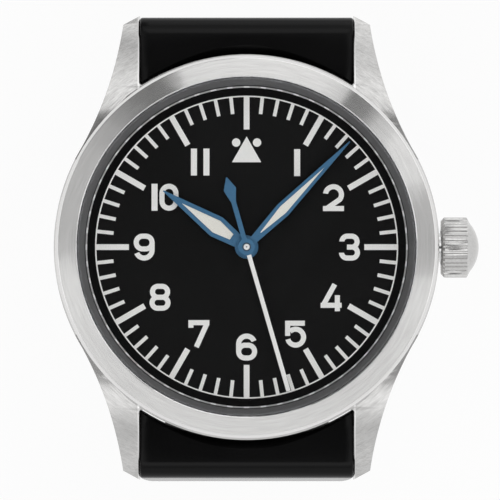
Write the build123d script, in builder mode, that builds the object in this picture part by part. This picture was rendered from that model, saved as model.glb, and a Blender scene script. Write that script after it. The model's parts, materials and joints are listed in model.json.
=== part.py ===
from build123d import *
from math import acos, asin, atan2, cos, degrees, hypot, radians, sin, sqrt
import os

# A pilot watch. The origin is the centre of the case back's outer face, +Z comes out through the
# dial, +Y points to 12 and +X to the crown.

# Clearances that many pieces share
fit_gap = 0.05
pivot_gap = 0.03
play = 0.05

# Tooth counts
centre_teeth, third_pinion_leaves = 64, 8
third_teeth, fourth_pinion_leaves = 60, 8
fourth_teeth, escape_pinion_leaves = 80, 8
barrel_teeth, centre_pinion_leaves = 84, 12
minute_teeth, cannon_leaves = 36, 12
hour_teeth, minute_pinion_leaves = 40, 10
ratchet_teeth, crown_wheel_teeth = 50, 30
winding_pinion_teeth, sliding_pinion_teeth = 14, 12
escape_teeth = 20
mainspring_half_turns = 16
hairspring_half_turns = 16
spoke_count = 5

# Shape of a gear tooth, as shares of its module and its pitch
addendum_share = 0.75
dedendum_share = 1.05
tooth_width_share = 0.36
tooth_tip_share = 0.45
spoke_hole_share = 0.19
spoke_hole_place_share = 0.6

# Directions in the movement, in degrees from +X
third_direction = 200.0
escape_direction = 270.0
balance_direction = 300.0
minute_wheel_direction = 130.0
cock_foot_direction = 262.0
pillar_directions = (20.0, 120.0, 170.0, 225.0)
click_pivot_direction = 162.0
click_tip_direction = 145.0
fork_stone_spread = 38.0

# Wheel train
train_distance = 4.5
motion_distance = 3.6
escape_distance = 4.4
barrel_distance = 6.72
wheel_thickness = 0.12
centre_pinion_height = 0.35
escape_radius = 2.0
escape_tooth_depth = 0.45
arbor_radius = 0.25
pivot_radius = 0.10
seconds_arbor_radius = 0.15
seconds_arbor_gap = 0.04
centre_tube_wall = 0.17
cannon_tube_wall = 0.26
hour_tube_wall = 0.30
cannon_pinion_height = 0.24
minute_pinion_height = 0.5
hour_wheel_thickness = 0.18
barrel_height = 0.93
barrel_drum_inset = 0.38
barrel_wall = 0.25
barrel_teeth_height = 0.24
barrel_core_radius = 1.2
barrel_arbor_radius = 0.5
spring_strip = 0.12
winding_wheel_thickness = 0.3
crown_wheel_radius = 3.0
ratchet_radius = 5.0
winding_screw_radius = 0.9
winding_screw_height = 0.25
click_width = 0.7
click_pivot_gap = 1.5

# Escapement and balance
balance_distance = 8.3
escape_to_balance = 5.0
escape_to_pallet = 2.35
balance_radius = 4.1
balance_rim_width = 0.6
balance_rim_height = 0.36
balance_arm_width = 0.5
balance_arm_height = 0.18
roller_radius = 0.8
roller_height = 0.14
impulse_pin_radius = 0.1
impulse_pin_offset = 0.55
impulse_pin_height = 0.09
fork_thickness = 0.15
fork_arm_width = 0.3
fork_stone_gap = 0.35
pallet_bridge_thickness = 0.18
pallet_bridge_width = 1.0
pallet_foot_offset = 2.3
pallet_foot_radius = 0.55
hairspring_height = 0.16
hairspring_strip = 0.06
hairspring_start_radius = 0.6
hairspring_pitch = 0.22

# Movement plates
plate_margin = 0.3
plate_thickness = 0.8
plate_rim_width = 0.5
bridge_thickness = 0.4
bridge_inset = 0.3
pillar_radius = 1.0
pillar_inset = 1.4
screw_head_radius = 0.75
screw_head_height = 0.3
screw_shank_radius = 0.4
screw_slot_width = 0.2
screw_slot_depth = 0.12
keyless_block_inset = 0.3
keyless_block_half_width = 2.3
keyless_block_depth = 1.5
jewel_radius = 0.5
jewel_thickness = 0.3
cock_width = 3.0
cock_thickness = 0.55
cock_foot_radius = 1.35

# Heights in the movement, above the inner face of the case back
winding_wheels_level = 0.55
hairspring_level = 1.20
fourth_wheel_level = 1.38
balance_rim_level = 1.48
fourth_pinion_level = 1.52
third_wheel_level = 1.60
centre_wheel_level = 1.90
pallet_bridge_level = 1.92
barrel_level = 2.15
escape_wheel_level = 2.22
fork_level = 2.22
roller_level = 2.48
stem_level = 2.5
centre_pinion_level = 2.75
barrel_teeth_level = 2.79
plate_level = 3.2
dial_level = 4.7
cannon_pinion_level = 4.08
minute_wheel_level = 4.12
hour_wheel_level = 4.4

# Dial and its print
movement_ring_width = 3.95
dial_thickness = 0.4
dial_hole_gap = 0.17
dial_side_gap = 0.1
print_height = 0.03
track_inset = 0.82
track_width = 0.14
minute_mark_width = 0.37
minute_mark_length = 1.75
hour_mark_width = 0.59
hour_mark_length = 3.4
figure_height = 2.76
figure_width = 2.15
figure_stroke = 0.52
figure_bar_width = 0.62
figure_zero_width = 1.95
figure_pair_pitch = 1.28
figure_tens_pitch = 1.48
figure_bowl_height = 1.83
triangle_width = 3.0
triangle_height = 2.64
triangle_inset = 4.19
triangle_dot_x = 1.07
triangle_dot_drop = 0.62
triangle_dot_radius = 0.43

# Inner flange and glass
flange_overlap = 0.5
flange_foot_edge = 0.15
flange_slant = 0.65
flange_top_width = 0.3
flange_height = 2.0
crystal_side_gap = 0.2
crystal_height = 1.2
crystal_rise = 0.4
crystal_edge_chamfer = 0.15
crystal_gasket_width = 0.5

# Bezel
bezel_height = 2.4
bezel_side_height = 1.75
bezel_face_height = 2.12
bezel_lip_edge = 0.13
bezel_lip_height = 0.4
bezel_face_width = 1.95
bezel_rim_width = 0.3

# Case
lug_gap = 22.0
case_ledge = 0.2
case_edge_break = 0.25
dial_recess = 1.0
back_thickness = 1.2
back_inset = 1.45
back_edge_chamfer = 0.5
back_thread_wall = 1.4
back_thread_height = 1.25
back_notch_count = 6
back_notch_width = 2.2
back_notch_length = 1.5
back_notch_depth = 0.45
gasket_groove_gap = 0.35
gasket_groove_width = 0.6
gasket_groove_depth = 0.4
bar_case_distance = 2.25
bar_level = 1.3
lug_tip_length = 1.9
lug_tip_width = 1.7
lug_tip_slant = 0.95
lug_flank_start_y = 9.0
lug_flank_hollow = 0.767
lug_shoulder_y = 12.5
lug_tip_level = 1.7
lug_droop = 0.6
lug_under_y = 14.0
lug_edge_chamfer = 0.14
lug_corner_fillet = 0.3

# Hands
hand_gap = 0.2
hour_hand_z_gap = 0.45
hand_thickness = 0.2
hour_hand_angle = 304.0
hour_hand_length = 10.29
hour_hand_wide_at = 3.71
hour_hand_half_width = 1.14
hour_hand_waist = 0.50
hour_lume_start = 1.84
hour_lume_end = 8.03
hour_lume_half_width = 0.72
hour_hub_radius = 1.20
minute_hand_angle = 44.4
minute_hand_inset = 0.42
minute_hand_wide_at = 5.31
minute_hand_half_width = 0.78
minute_hand_waist = 0.32
minute_lume_start = 2.05
minute_lume_end = 11.35
minute_lume_half_width = 0.44
minute_hub_radius = 1.05
hand_tip_half_width = 0.06
hour_window_start_share = 0.47
minute_window_start_share = 0.1
seconds_hand_angle = 163.8
seconds_hand_inset = 0.18
seconds_needle_width = 0.45
seconds_hub_radius = 0.89
seconds_pipe_radius = 0.31
seconds_pipe_rise = 0.08
seconds_thickness = 0.15
kite_start = 4.76
kite_wide_at = 6.13
kite_end = 7.40
kite_half_width = 0.66
tail_width = 0.5

# Crown, stem and winding parts
stem_radius = 0.45
stem_travel = 1.2
stem_pilot_length = 1.1
stem_groove_inset = 1.9
stem_groove_width = 0.5
stem_groove_depth = 0.15
crown_case_gap = 0.22
crown_body_length = 3.0
crown_dome_length = 0.91
crown_radius = 3.10
crown_shoulder = 0.63
crown_rib_count = 35
crown_rib_depth = 0.17
crown_end_chamfer = 0.35
crown_wall = 0.9
crown_post_inset = 0.33
crown_post_gap = 0.1
crown_tube_outer = 1.5
crown_tube_wall = 0.55
crown_tube_entry = 1.53
crown_gasket_width = 0.4
crown_gasket_thickness = 0.3
rib_corner_shares = (0, 0.5, 0.6, 0.9)
winding_pinion_radius = 1.55
winding_pinion_setback = 1.65
winding_pinion_length = 1.1
crown_wheel_setback = 2.15
sliding_pinion_radius = 1.05
sliding_pinion_length = 1.6
pinion_groove_inset = 0.4
pinion_groove_width = 0.4
pinion_groove_depth = 0.3
setting_window_margin = 0.25
lever_pin_radius = 0.15
lever_pivot_y = -2.2
lever_width = 0.8
lever_thickness = 0.2
yoke_finger_radius = 0.12
yoke_pivot_y = -2.6
yoke_width = 0.6

# Strap, spring bars and buckle
spring_bar_radius = 0.75
spring_bar_tip_radius = 0.4
spring_bar_tip_reach = 0.8
strap_side_gap = 0.06
strap_case_gap = 0.15
strap_thickness = 2.8
strap_end_radius = 1.75
strap_under_bar = 1.25
strap_corner_fillet = 0.5
loop_drop = 28.5
loop_bulge = 0.8
strap_buckle_width = 18.0
strap_taper_drop = 12.0
tail_gap = 0.15
tail_end_lift = 0.3
tail_meet_angle = 10.0
tail_end_angle = 64.0
tail_hole_radius = 1.45
tail_hole_pitch_angle = 15.0
tail_hole_count = 4
buckle_bar_angle = 8.0
crossbar_angle = -16.0
buckle_bar_radius = 0.8
buckle_side_gap = 0.45
buckle_arm_thickness = 1.4
buckle_arm_half_height = 1.25
crossbar_radius = 0.85
crossbar_gap = 0.16
tongue_width = 2.2
tongue_thickness = 0.9
tongue_ring_wall = 0.55
tongue_gap = 0.1
tongue_riser_angle = 5.8
tongue_tip_overhang = 0.7
tongue_tip_lift = 0.3
tongue_slot_length = 3.5
keeper_fixed_angle = 21.0
keeper_loose_angle = 40.0
keeper_half_width_angle = 4.5
keeper_wall = 0.9
keeper_inside_gap = 0.12
keeper_side_room = 0.2

# Radii of the movement, from its axis outwards
centre_tube_bore = seconds_arbor_radius + seconds_arbor_gap
centre_tube_radius = centre_tube_bore + centre_tube_wall
cannon_tube_radius = centre_tube_radius + cannon_tube_wall
hour_tube_radius = cannon_tube_radius + pivot_gap + hour_tube_wall
barrel_pitch_radius = barrel_distance * barrel_teeth / (barrel_teeth + centre_pinion_leaves)
barrel_drum_radius = barrel_pitch_radius - barrel_drum_inset
plate_radius = barrel_distance + barrel_pitch_radius + plate_margin
bridge_radius = plate_radius - bridge_inset
pillar_ring_radius = plate_radius - pillar_inset

# Radii of the dial, glass, bezel and case, each from the one inside it
dial_radius = plate_radius + movement_ring_width
dial_hole_radius = hour_tube_radius + dial_hole_gap
movement_bore_radius = dial_radius + dial_side_gap
flange_foot_radius = dial_radius - flange_overlap
flange_top_radius = flange_foot_radius + flange_foot_edge + flange_slant
flange_outer_radius = flange_top_radius + flange_top_width
track_radius = flange_foot_radius - track_inset
crystal_radius = flange_outer_radius - crystal_side_gap
crystal_gasket_outer = crystal_radius + crystal_gasket_width
bezel_lip_radius = crystal_radius + fit_gap
bezel_face_radius = bezel_lip_radius + bezel_face_width
bezel_radius = bezel_face_radius + bezel_rim_width
case_radius = bezel_radius + case_ledge
back_radius = case_radius - back_inset
back_thread_radius = movement_bore_radius - fit_gap
gasket_groove_inner = back_thread_radius + gasket_groove_gap
gasket_groove_outer = gasket_groove_inner + gasket_groove_width
half_gap = lug_gap / 2
bar_y = case_radius + bar_case_distance
lug_reach = bar_y + lug_tip_length

# Places along the stem, from the plate's edge inwards and from the case outwards
stem_groove_x = plate_radius - stem_groove_inset
winding_pinion_x = stem_groove_x - winding_pinion_setback
crown_wheel_x = winding_pinion_x - crown_wheel_setback
sliding_pinion_x = winding_pinion_x - play - sliding_pinion_length
pinion_groove_x = sliding_pinion_x + pinion_groove_inset
finger_x = pinion_groove_x + pinion_groove_width / 2
yoke_pivot_x = finger_x - stem_travel / 4
stem_pilot_x = sliding_pinion_x - stem_pilot_length
keyless_block_x = stem_pilot_x + keyless_block_inset
crown_start_x = case_radius + crown_case_gap
crown_post_start_x = crown_start_x + crown_post_inset
crown_tube_end_x = crown_start_x + crown_tube_entry
crown_tube_inner = crown_tube_outer - crown_tube_wall
crown_post_radius = crown_tube_inner - crown_post_gap
crown_cavity_radius = crown_tube_outer + crown_gasket_thickness
crown_dome_radius = crown_radius - crown_shoulder

# Heights
case_bottom_z = back_thickness
winding_wheels_z = case_bottom_z + winding_wheels_level
bridge_bottom_z = winding_wheels_z + winding_wheel_thickness + play
bridge_top_z = bridge_bottom_z + bridge_thickness
hairspring_z = case_bottom_z + hairspring_level
fourth_wheel_z = case_bottom_z + fourth_wheel_level
balance_rim_z = case_bottom_z + balance_rim_level
fourth_pinion_z = case_bottom_z + fourth_pinion_level
third_wheel_z = case_bottom_z + third_wheel_level
centre_wheel_z = case_bottom_z + centre_wheel_level
pallet_bridge_z = case_bottom_z + pallet_bridge_level
barrel_z = case_bottom_z + barrel_level
escape_wheel_z = case_bottom_z + escape_wheel_level
fork_z = case_bottom_z + fork_level
roller_z = case_bottom_z + roller_level
stem_z = case_bottom_z + stem_level
centre_pinion_z = case_bottom_z + centre_pinion_level
barrel_teeth_z = case_bottom_z + barrel_teeth_level
plate_bottom_z = case_bottom_z + plate_level
plate_top_z = plate_bottom_z + plate_thickness
cannon_pinion_z = case_bottom_z + cannon_pinion_level
minute_wheel_z = case_bottom_z + minute_wheel_level
hour_wheel_z = case_bottom_z + hour_wheel_level
dial_bottom_z = case_bottom_z + dial_level
dial_top_z = dial_bottom_z + dial_thickness
case_top_z = dial_bottom_z + dial_recess
middle_height = case_top_z - case_bottom_z
bezel_top_z = case_top_z + bezel_height
flange_top_z = dial_top_z + flange_height
hour_hand_z = dial_top_z + hour_hand_z_gap
minute_hand_z = hour_hand_z + hand_thickness + hand_gap
seconds_hand_z = minute_hand_z + hand_thickness + hand_gap
lug_tip_top_z = case_bottom_z + lug_tip_level
lug_tip_bottom_z = case_bottom_z - lug_droop
bar_z = case_bottom_z + bar_level

# Lengths of the longer hands, from the minute circle inwards
minute_hand_length = track_radius - minute_hand_inset
seconds_hand_length = track_radius - seconds_hand_inset
triangle_apex_y = track_radius - triangle_inset
triangle_base_y = triangle_apex_y - triangle_height

# The strap's loop, from the spring bars down
loop_z = bar_z - loop_drop
strap_low_z = bar_z - strap_under_bar
strap_top_z = bar_z + strap_end_radius
strap_inner_top_y = bar_y + strap_end_radius - strap_thickness
loop_radius = strap_inner_top_y + loop_bulge
outer_radius = loop_radius + strap_thickness
strap_taper_end_z = loop_z - strap_taper_drop
tail_end_radius = outer_radius + tail_end_lift


def polar(radius, direction, centre=(0, 0)):
    """A point at a radius and a direction in degrees from a centre."""
    x, y = centre
    return (x + radius * cos(radians(direction)), y + radius * sin(radians(direction)))


def dial_point(radius, clock):
    """A point of the dial, with the angle taken clockwise from 12."""
    return polar(radius, 90 - clock)


def tooth_outline(centre, teeth, pitch_radius, first_direction):
    """The corners of a toothed rim, one straight-sided tooth after another."""
    module = 2 * pitch_radius / teeth
    tip = pitch_radius + addendum_share * module
    root = pitch_radius - dedendum_share * module
    half_pitch = tooth_width_share * 180 / teeth
    half_tip = tooth_tip_share * half_pitch * pitch_radius / tip
    slope_share = (1 - tooth_tip_share) * dedendum_share / addendum_share
    half_root = half_pitch * (1 + slope_share) * pitch_radius / root
    corners = []
    for tooth in range(teeth):
        middle = first_direction + 360 * tooth / teeth
        corners.append(polar(root, middle - half_root, centre))
        corners.append(polar(tip, middle - half_tip, centre))
        corners.append(polar(tip, middle + half_tip, centre))
        corners.append(polar(root, middle + half_root, centre))
    return corners


def add_disc(z, height, radius, centre=(0, 0), mode=Mode.ADD):
    """A round disc or pillar on a horizontal plane."""
    with BuildSketch(Plane.XY.offset(z)) as profile:
        with Locations(centre):
            Circle(radius)
    extrude(profile.sketch, amount=height, mode=mode)


def add_gear(z, height, centre, teeth, pitch_radius, first_direction):
    """A toothed disc on a horizontal plane."""
    with BuildSketch(Plane.XY.offset(z)) as profile:
        with BuildLine():
            Polyline(*tooth_outline(centre, teeth, pitch_radius, first_direction), close=True)
        make_face()
    extrude(profile.sketch, amount=height)


def cut_spokes(z, height, centre, radius, hole_share=spoke_hole_share):
    """Round crossings that lighten a wheel."""
    with BuildSketch(Plane.XY.offset(z)) as profile:
        with Locations(centre):
            with PolarLocations(radius * spoke_hole_place_share, spoke_count):
                Circle(radius * hole_share)
    extrude(profile.sketch, amount=height, mode=Mode.SUBTRACT)


def add_bar(z, height, start, end, width, mode=Mode.ADD):
    """A flat round-ended bar between two places in plan."""
    span_x, span_y = end[0] - start[0], end[1] - start[1]
    with BuildSketch(Plane.XY.offset(z)) as profile:
        with Locations((start[0] + span_x / 2, start[1] + span_y / 2)):
            SlotCenterToCenter(hypot(span_x, span_y), width, rotation=degrees(atan2(span_y, span_x)))
    extrude(profile.sketch, amount=height, mode=mode)


def add_arbor(centre, low_z, high_z):
    """An arbor between two plates, with a pivot at each end."""
    add_disc(low_z + play, high_z - low_z - 2 * play, arbor_radius, centre)
    add_disc(low_z - jewel_thickness, high_z - low_z + 2 * jewel_thickness, pivot_radius, centre)


def add_rod(start_x, length, radius, y=0, z=0, mode=Mode.ADD):
    """A round rod along X."""
    with BuildSketch(Plane.YZ.offset(start_x)) as profile:
        with Locations((y, z)):
            Circle(radius)
    extrude(profile.sketch, amount=length, mode=mode)


def turn_profile(points):
    """A solid of revolution about Z from the corners of its section, given as radius and height."""
    with BuildSketch(Plane.XZ) as profile:
        with BuildLine():
            Polyline(*points, close=True)
        make_face()
    revolve(profile.sketch, axis=Axis.Z)


def keep(piece, name):
    """Writes one finished piece under its own name."""
    piece.part.label = name
    export_step(piece.part, f"parts/{name}.step")


os.makedirs("parts", exist_ok=True)

# The case band is one piece with its four lugs. The lugs' outer edges are hollow arcs that leave the
# round case at a tangent, their tops curve down to the tips, and their inner faces hold the strap.
with BuildPart() as case_middle:
    flank_start_x = sqrt(case_radius**2 - lug_flank_start_y**2)
    lug_tip_x = half_gap + lug_tip_width
    lug_root_y = sqrt(movement_bore_radius**2 - half_gap**2) / 2
    with BuildSketch():
        with BuildLine():
            Polyline((flank_start_x, lug_flank_start_y), (half_gap, lug_root_y), (half_gap, lug_reach))
            Line((half_gap, lug_reach), (lug_tip_x, lug_reach - lug_tip_slant))
            SagittaArc(
                (flank_start_x, lug_flank_start_y), (lug_tip_x, lug_reach - lug_tip_slant), lug_flank_hollow
            )
        make_face()
        mirror(about=Plane.YZ)
        mirror(about=Plane.XZ)
    extrude(amount=case_top_z)
    with BuildSketch(Plane.YZ):
        with BuildLine():
            Line((0, case_bottom_z), (0, case_top_z))
            Line((0, case_top_z), (lug_shoulder_y, case_top_z))
            TangentArc(
                (lug_shoulder_y, case_top_z), (lug_reach, lug_tip_top_z), tangent=(1, 0)
            )
            Line((lug_reach, lug_tip_top_z), (lug_reach, lug_tip_bottom_z))
            TangentArc(
                (lug_under_y, case_bottom_z), (lug_reach, lug_tip_bottom_z), tangent=(1, 0)
            )
            Line((lug_under_y, case_bottom_z), (0, case_bottom_z))
        make_face()
        mirror(about=Plane.YZ)
    extrude(amount=case_radius, both=True, mode=Mode.INTERSECT)
    turn_profile(
        [
            (0, case_bottom_z),
            (case_radius - case_edge_break, case_bottom_z),
            (case_radius, case_bottom_z + case_edge_break),
            (case_radius, case_top_z - case_edge_break),
            (case_radius - case_edge_break, case_top_z),
            (0, case_top_z),
        ]
    )
    lug_corner_y = sqrt(case_radius**2 - half_gap**2)
    lug_corner_edges = (
        case_middle.edges()
        .filter_by(Axis.Z)
        .filter_by(lambda edge: abs(abs(edge.center().X) - half_gap) < fit_gap)
        .filter_by(lambda edge: abs(abs(edge.center().Y) - lug_corner_y) < fit_gap)
    )
    fillet(lug_corner_edges, radius=lug_corner_fillet)
    add_disc(case_bottom_z, middle_height, movement_bore_radius, mode=Mode.SUBTRACT)
    add_disc(dial_top_z, dial_recess, flange_outer_radius + fit_gap, mode=Mode.SUBTRACT)
    with BuildSketch(Plane.XY.offset(case_bottom_z)):
        Circle(gasket_groove_outer)
        Circle(gasket_groove_inner, mode=Mode.SUBTRACT)
    extrude(amount=gasket_groove_depth, mode=Mode.SUBTRACT)
    add_rod(0, case_radius, crown_tube_outer, z=stem_z, mode=Mode.SUBTRACT)
    bar_hole_length = lug_gap + 2 * (spring_bar_tip_reach + fit_gap)
    for side in (-1, 1):
        add_rod(
            -bar_hole_length / 2,
            bar_hole_length,
            spring_bar_tip_radius + fit_gap,
            side * bar_y,
            bar_z,
            Mode.SUBTRACT,
        )
    inner_lug_edges = (
        case_middle.edges()
        .filter_by(lambda edge: abs(abs(edge.center().X) - half_gap) < fit_gap)
        .filter_by(lambda edge: edge.center().Z > bar_z and abs(edge.center().Y) > lug_shoulder_y)
        .filter_by(GeomType.CIRCLE)
        .filter_by(lambda edge: edge.radius > strap_thickness)
    )
    chamfer(inner_lug_edges, length=lug_edge_chamfer)
keep(case_middle, "case_middle")

# The bezel is a plain fixed ring with a gently sloping brushed face and polished edges.
with BuildPart() as bezel:
    turn_profile(
        [
            (flange_outer_radius + fit_gap, case_top_z),
            (bezel_radius, case_top_z),
            (bezel_radius, case_top_z + bezel_side_height),
            (bezel_face_radius, case_top_z + bezel_face_height),
            (bezel_lip_radius + bezel_lip_edge, bezel_top_z),
            (bezel_lip_radius, bezel_top_z - bezel_lip_edge),
            (bezel_lip_radius, bezel_top_z - bezel_lip_height),
            (crystal_gasket_outer, bezel_top_z - bezel_lip_height),
            (crystal_gasket_outer, flange_top_z),
            (flange_outer_radius + fit_gap, flange_top_z),
        ]
    )
keep(bezel, "bezel")

# The glass is flat below and slightly domed above, and stands a little above the bezel.
crystal_edge_z = flange_top_z + crystal_height
with BuildPart() as crystal:
    with BuildSketch(Plane.XZ):
        with BuildLine():
            Line((0, flange_top_z), (crystal_radius, flange_top_z))
            Line((crystal_radius, flange_top_z), (crystal_radius, crystal_edge_z - crystal_edge_chamfer))
            Line(
                (crystal_radius, crystal_edge_z - crystal_edge_chamfer),
                (crystal_radius - crystal_edge_chamfer, crystal_edge_z),
            )
            dome_top = (0, crystal_edge_z + crystal_rise)
            TangentArc(
                dome_top, (crystal_radius - crystal_edge_chamfer, crystal_edge_z), tangent=(1, 0)
            )
            Line(dome_top, (0, flange_top_z))
        make_face()
    revolve(axis=Axis.Z)
keep(crystal, "crystal")

# The glass is held by a plastic ring under the bezel's lip.
with BuildPart() as crystal_gasket:
    gasket_top_z = bezel_top_z - bezel_lip_height
    turn_profile(
        [
            (crystal_radius, flange_top_z),
            (crystal_gasket_outer, flange_top_z),
            (crystal_gasket_outer, gasket_top_z),
            (crystal_radius, gasket_top_z),
        ]
    )
keep(crystal_gasket, "crystal_gasket")

# The inner flange is a cone ring that stands on the dial's edge and carries the glass.
with BuildPart() as rehaut_ring:
    turn_profile(
        [
            (flange_foot_radius, dial_top_z),
            (flange_foot_radius + flange_foot_edge, dial_top_z + flange_foot_edge),
            (flange_top_radius, flange_top_z),
            (flange_outer_radius, flange_top_z),
            (flange_outer_radius, dial_top_z),
        ]
    )
keep(rehaut_ring, "rehaut_ring")

# The case back screws in from behind and has six notches for a key.
with BuildPart() as case_back:
    turn_profile(
        [
            (0, 0),
            (back_radius - back_edge_chamfer, 0),
            (back_radius, back_edge_chamfer),
            (back_radius, back_thickness),
            (0, back_thickness),
        ]
    )
    with BuildSketch(Plane.XY.offset(back_thickness)):
        Circle(back_thread_radius)
        Circle(back_thread_radius - back_thread_wall, mode=Mode.SUBTRACT)
    extrude(amount=back_thread_height)
    with BuildSketch():
        with PolarLocations(back_radius - back_notch_length / 2, back_notch_count):
            Rectangle(back_notch_length + fit_gap, back_notch_width)
    extrude(amount=back_notch_depth, mode=Mode.SUBTRACT)
keep(case_back, "case_back")

with BuildPart() as case_back_gasket:
    with BuildSketch(Plane.XY.offset(case_bottom_z)):
        Circle(gasket_groove_outer - fit_gap)
        Circle(gasket_groove_inner + fit_gap, mode=Mode.SUBTRACT)
    extrude(amount=gasket_groove_depth - fit_gap)
keep(case_back_gasket, "case_back_gasket")

# The crown tube is pressed into the case band at 3.
with BuildPart() as crown_tube:
    tube_start_x = movement_bore_radius
    add_rod(tube_start_x, crown_tube_end_x - tube_start_x, crown_tube_outer, z=stem_z)
    add_rod(tube_start_x, crown_tube_end_x - tube_start_x, crown_tube_inner, z=stem_z, mode=Mode.SUBTRACT)
keep(crown_tube, "crown_tube")

# The movement ring fills the space round the movement and carries the dial's edge.
ring_bottom_z = back_thickness + back_thread_height + play
with BuildPart() as movement_ring:
    with BuildSketch(Plane.XY.offset(ring_bottom_z)):
        Circle(movement_bore_radius - fit_gap)
        Circle(plate_radius + fit_gap, mode=Mode.SUBTRACT)
    extrude(amount=dial_bottom_z - ring_bottom_z)
    add_rod(0, movement_bore_radius, crown_tube_inner, z=stem_z, mode=Mode.SUBTRACT)
keep(movement_ring, "movement_ring")

with BuildPart() as dial:
    with BuildSketch(Plane.XY.offset(dial_bottom_z)):
        Circle(dial_radius)
        Circle(dial_hole_radius, mode=Mode.SUBTRACT)
    extrude(amount=dial_thickness)
keep(dial, "dial")

# The printed minute circle has a stroke for each minute, longer and broader at the hours.
with BuildPart() as minute_track:
    with BuildSketch(Plane.XY.offset(dial_top_z)):
        Circle(track_radius)
        Circle(track_radius - track_width, mode=Mode.SUBTRACT)
        for minute in range(60):
            is_hour = minute % 5 == 0
            width = hour_mark_width if is_hour else minute_mark_width
            length = hour_mark_length if is_hour else minute_mark_length
            with Locations(Rotation(0, 0, -6 * minute)):
                with Locations((0, track_radius - track_width / 2 - length / 2)):
                    Rectangle(width, length)
    extrude(amount=print_height)
keep(minute_track, "minute_track")

# Each figure is drawn with one pen width along its middle line, in a box of the same height. The
# upright strokes of 1, 10 and 11 are plain bars.
half_line = (figure_width - figure_stroke) / 2
half_box = figure_width / 2
half_pen = figure_stroke / 2
butt_y = figure_height / 2
top_y = butt_y - half_pen
bowl_half_height = (figure_bowl_height - figure_stroke) / 2
curl_y = top_y - half_line


def pen(*points):
    """One straight-sided pen stroke through points."""
    with BuildLine() as outline:
        Polyline(*points)
    trace(outline.edges(), line_width=figure_stroke)


def pen_arc(centre, start, sweep_angle):
    """A pen stroke along a round bowl."""
    with BuildLine() as outline:
        CenterArc(centre, half_line, start, sweep_angle)
    trace(outline.edges(), line_width=figure_stroke)


def pen_loop(centre, half_width, half_height):
    """A closed loop of the pen's middle line, with round ends on its longer axis."""
    narrow = min(half_width, half_height)
    apart = 2 * abs(half_height - half_width)
    turn = 90 if half_height > half_width else 0
    with Locations(centre):
        SlotCenterToCenter(apart, 2 * narrow + figure_stroke, rotation=turn)
        SlotCenterToCenter(apart, 2 * narrow - figure_stroke, rotation=turn, mode=Mode.SUBTRACT)


def figure_0():
    pen_loop((0, 0), (figure_zero_width - figure_stroke) / 2, top_y)


def figure_1():
    Rectangle(figure_bar_width, figure_height)


def figure_2():
    neck = (0, curl_y)
    pen_arc(neck, -42, 214)
    pen(polar(half_line, -36, neck), (-half_line + half_pen / 2, -top_y))
    pen((-half_box, -top_y), (half_box, -top_y))


def figure_8():
    bowl = top_y / 2
    pen_loop((0, -bowl), half_line, bowl)
    pen_loop((0, bowl), half_line * upper_bowl_share, bowl)


def figure_3():
    figure_8()
    with Locations((-half_box / 2 - half_pen / 2, 0)):
        Rectangle(half_box - half_pen / 2, 2 * butt_y * open_side_share, mode=Mode.SUBTRACT)
    pen((-half_pen, 0), (half_pen, 0))


def figure_4():
    cross_y = -butt_y * cross_bar_share
    post_x = half_line * post_place_share
    pen((post_x, -butt_y), (post_x, half_pen))
    pen((-half_box, cross_y), (half_box, cross_y))
    pen((post_x - half_pen, butt_y), (-half_line, cross_y))


def figure_5():
    pen_arc((0, -curl_y), -165, 300)
    pen((-half_line, half_pen / 2 - curl_y), (-half_line, butt_y))
    pen((-half_box, top_y), (half_line + half_pen / 2, top_y))


def figure_6():
    pen_loop((0, bowl_half_height - top_y), half_line, bowl_half_height)
    pen((-half_line, bowl_half_height - top_y), (-half_line, curl_y))
    pen_arc((0, curl_y), 22, 158)


def figure_7():
    pen((-half_box, top_y), (half_box, top_y))
    pen((-half_line, butt_y), (-half_line, top_y - figure_stroke))
    pen((half_line, top_y - half_pen / 2), (-half_pen, -butt_y))


def figure_9():
    pen_loop((0, top_y - bowl_half_height), half_line, bowl_half_height)
    pen((half_line, top_y - bowl_half_height), (half_line, -curl_y))
    pen_arc((0, -curl_y), 202, 158)


draw_figure = {
    "0": figure_0,
    "1": figure_1,
    "2": figure_2,
    "3": figure_3,
    "4": figure_4,
    "5": figure_5,
    "6": figure_6,
    "7": figure_7,
    "8": figure_8,
    "9": figure_9,
}

# Forms of some figures, as shares of a figure's box
upper_bowl_share = 0.95
open_side_share = 0.42
cross_bar_share = 0.56
post_place_share = 0.78

# Where the middle of each hour's figure stands, as shares of the minute circle's radius
figure_place_shares = {
    "1": (0.3335, 0.5576),
    "2": (0.5731, 0.3265),
    "3": (0.6787, 0),
    "4": (0.5576, -0.3342),
    "5": (0.3232, -0.5744),
    "6": (0, -0.6594),
    "7": (-0.3149, -0.5705),
    "8": (-0.5712, -0.3310),
    "9": (-0.6761, 0),
    "10": (-0.5600, 0.3290),
    "11": (-0.3065, 0.5615),
}

with BuildPart() as hour_numerals:
    for hour, (x_share, y_share) in figure_place_shares.items():
        figure_x, figure_y = x_share * track_radius, y_share * track_radius
        pitch = figure_tens_pitch if hour == "10" else figure_pair_pitch
        steps = (-pitch / 2, pitch / 2) if len(hour) == 2 else (0,)
        for digit, step in zip(hour, steps):
            with BuildSketch(Plane((figure_x + step, figure_y, dial_top_z))):
                draw_figure[digit]()
            extrude(amount=print_height)
keep(hour_numerals, "hour_numerals")

with BuildPart() as triangle_marker:
    with BuildSketch(Plane.XY.offset(dial_top_z)):
        half_base = triangle_width / 2
        with BuildLine():
            Polyline(
                (-half_base, triangle_base_y),
                (half_base, triangle_base_y),
                (0, triangle_apex_y),
                close=True,
            )
        make_face()
        dot_y = triangle_apex_y - triangle_dot_drop
        with Locations((-triangle_dot_x, dot_y), (triangle_dot_x, dot_y)):
            Circle(triangle_dot_radius)
    extrude(amount=print_height)
keep(triangle_marker, "triangle_marker")


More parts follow.
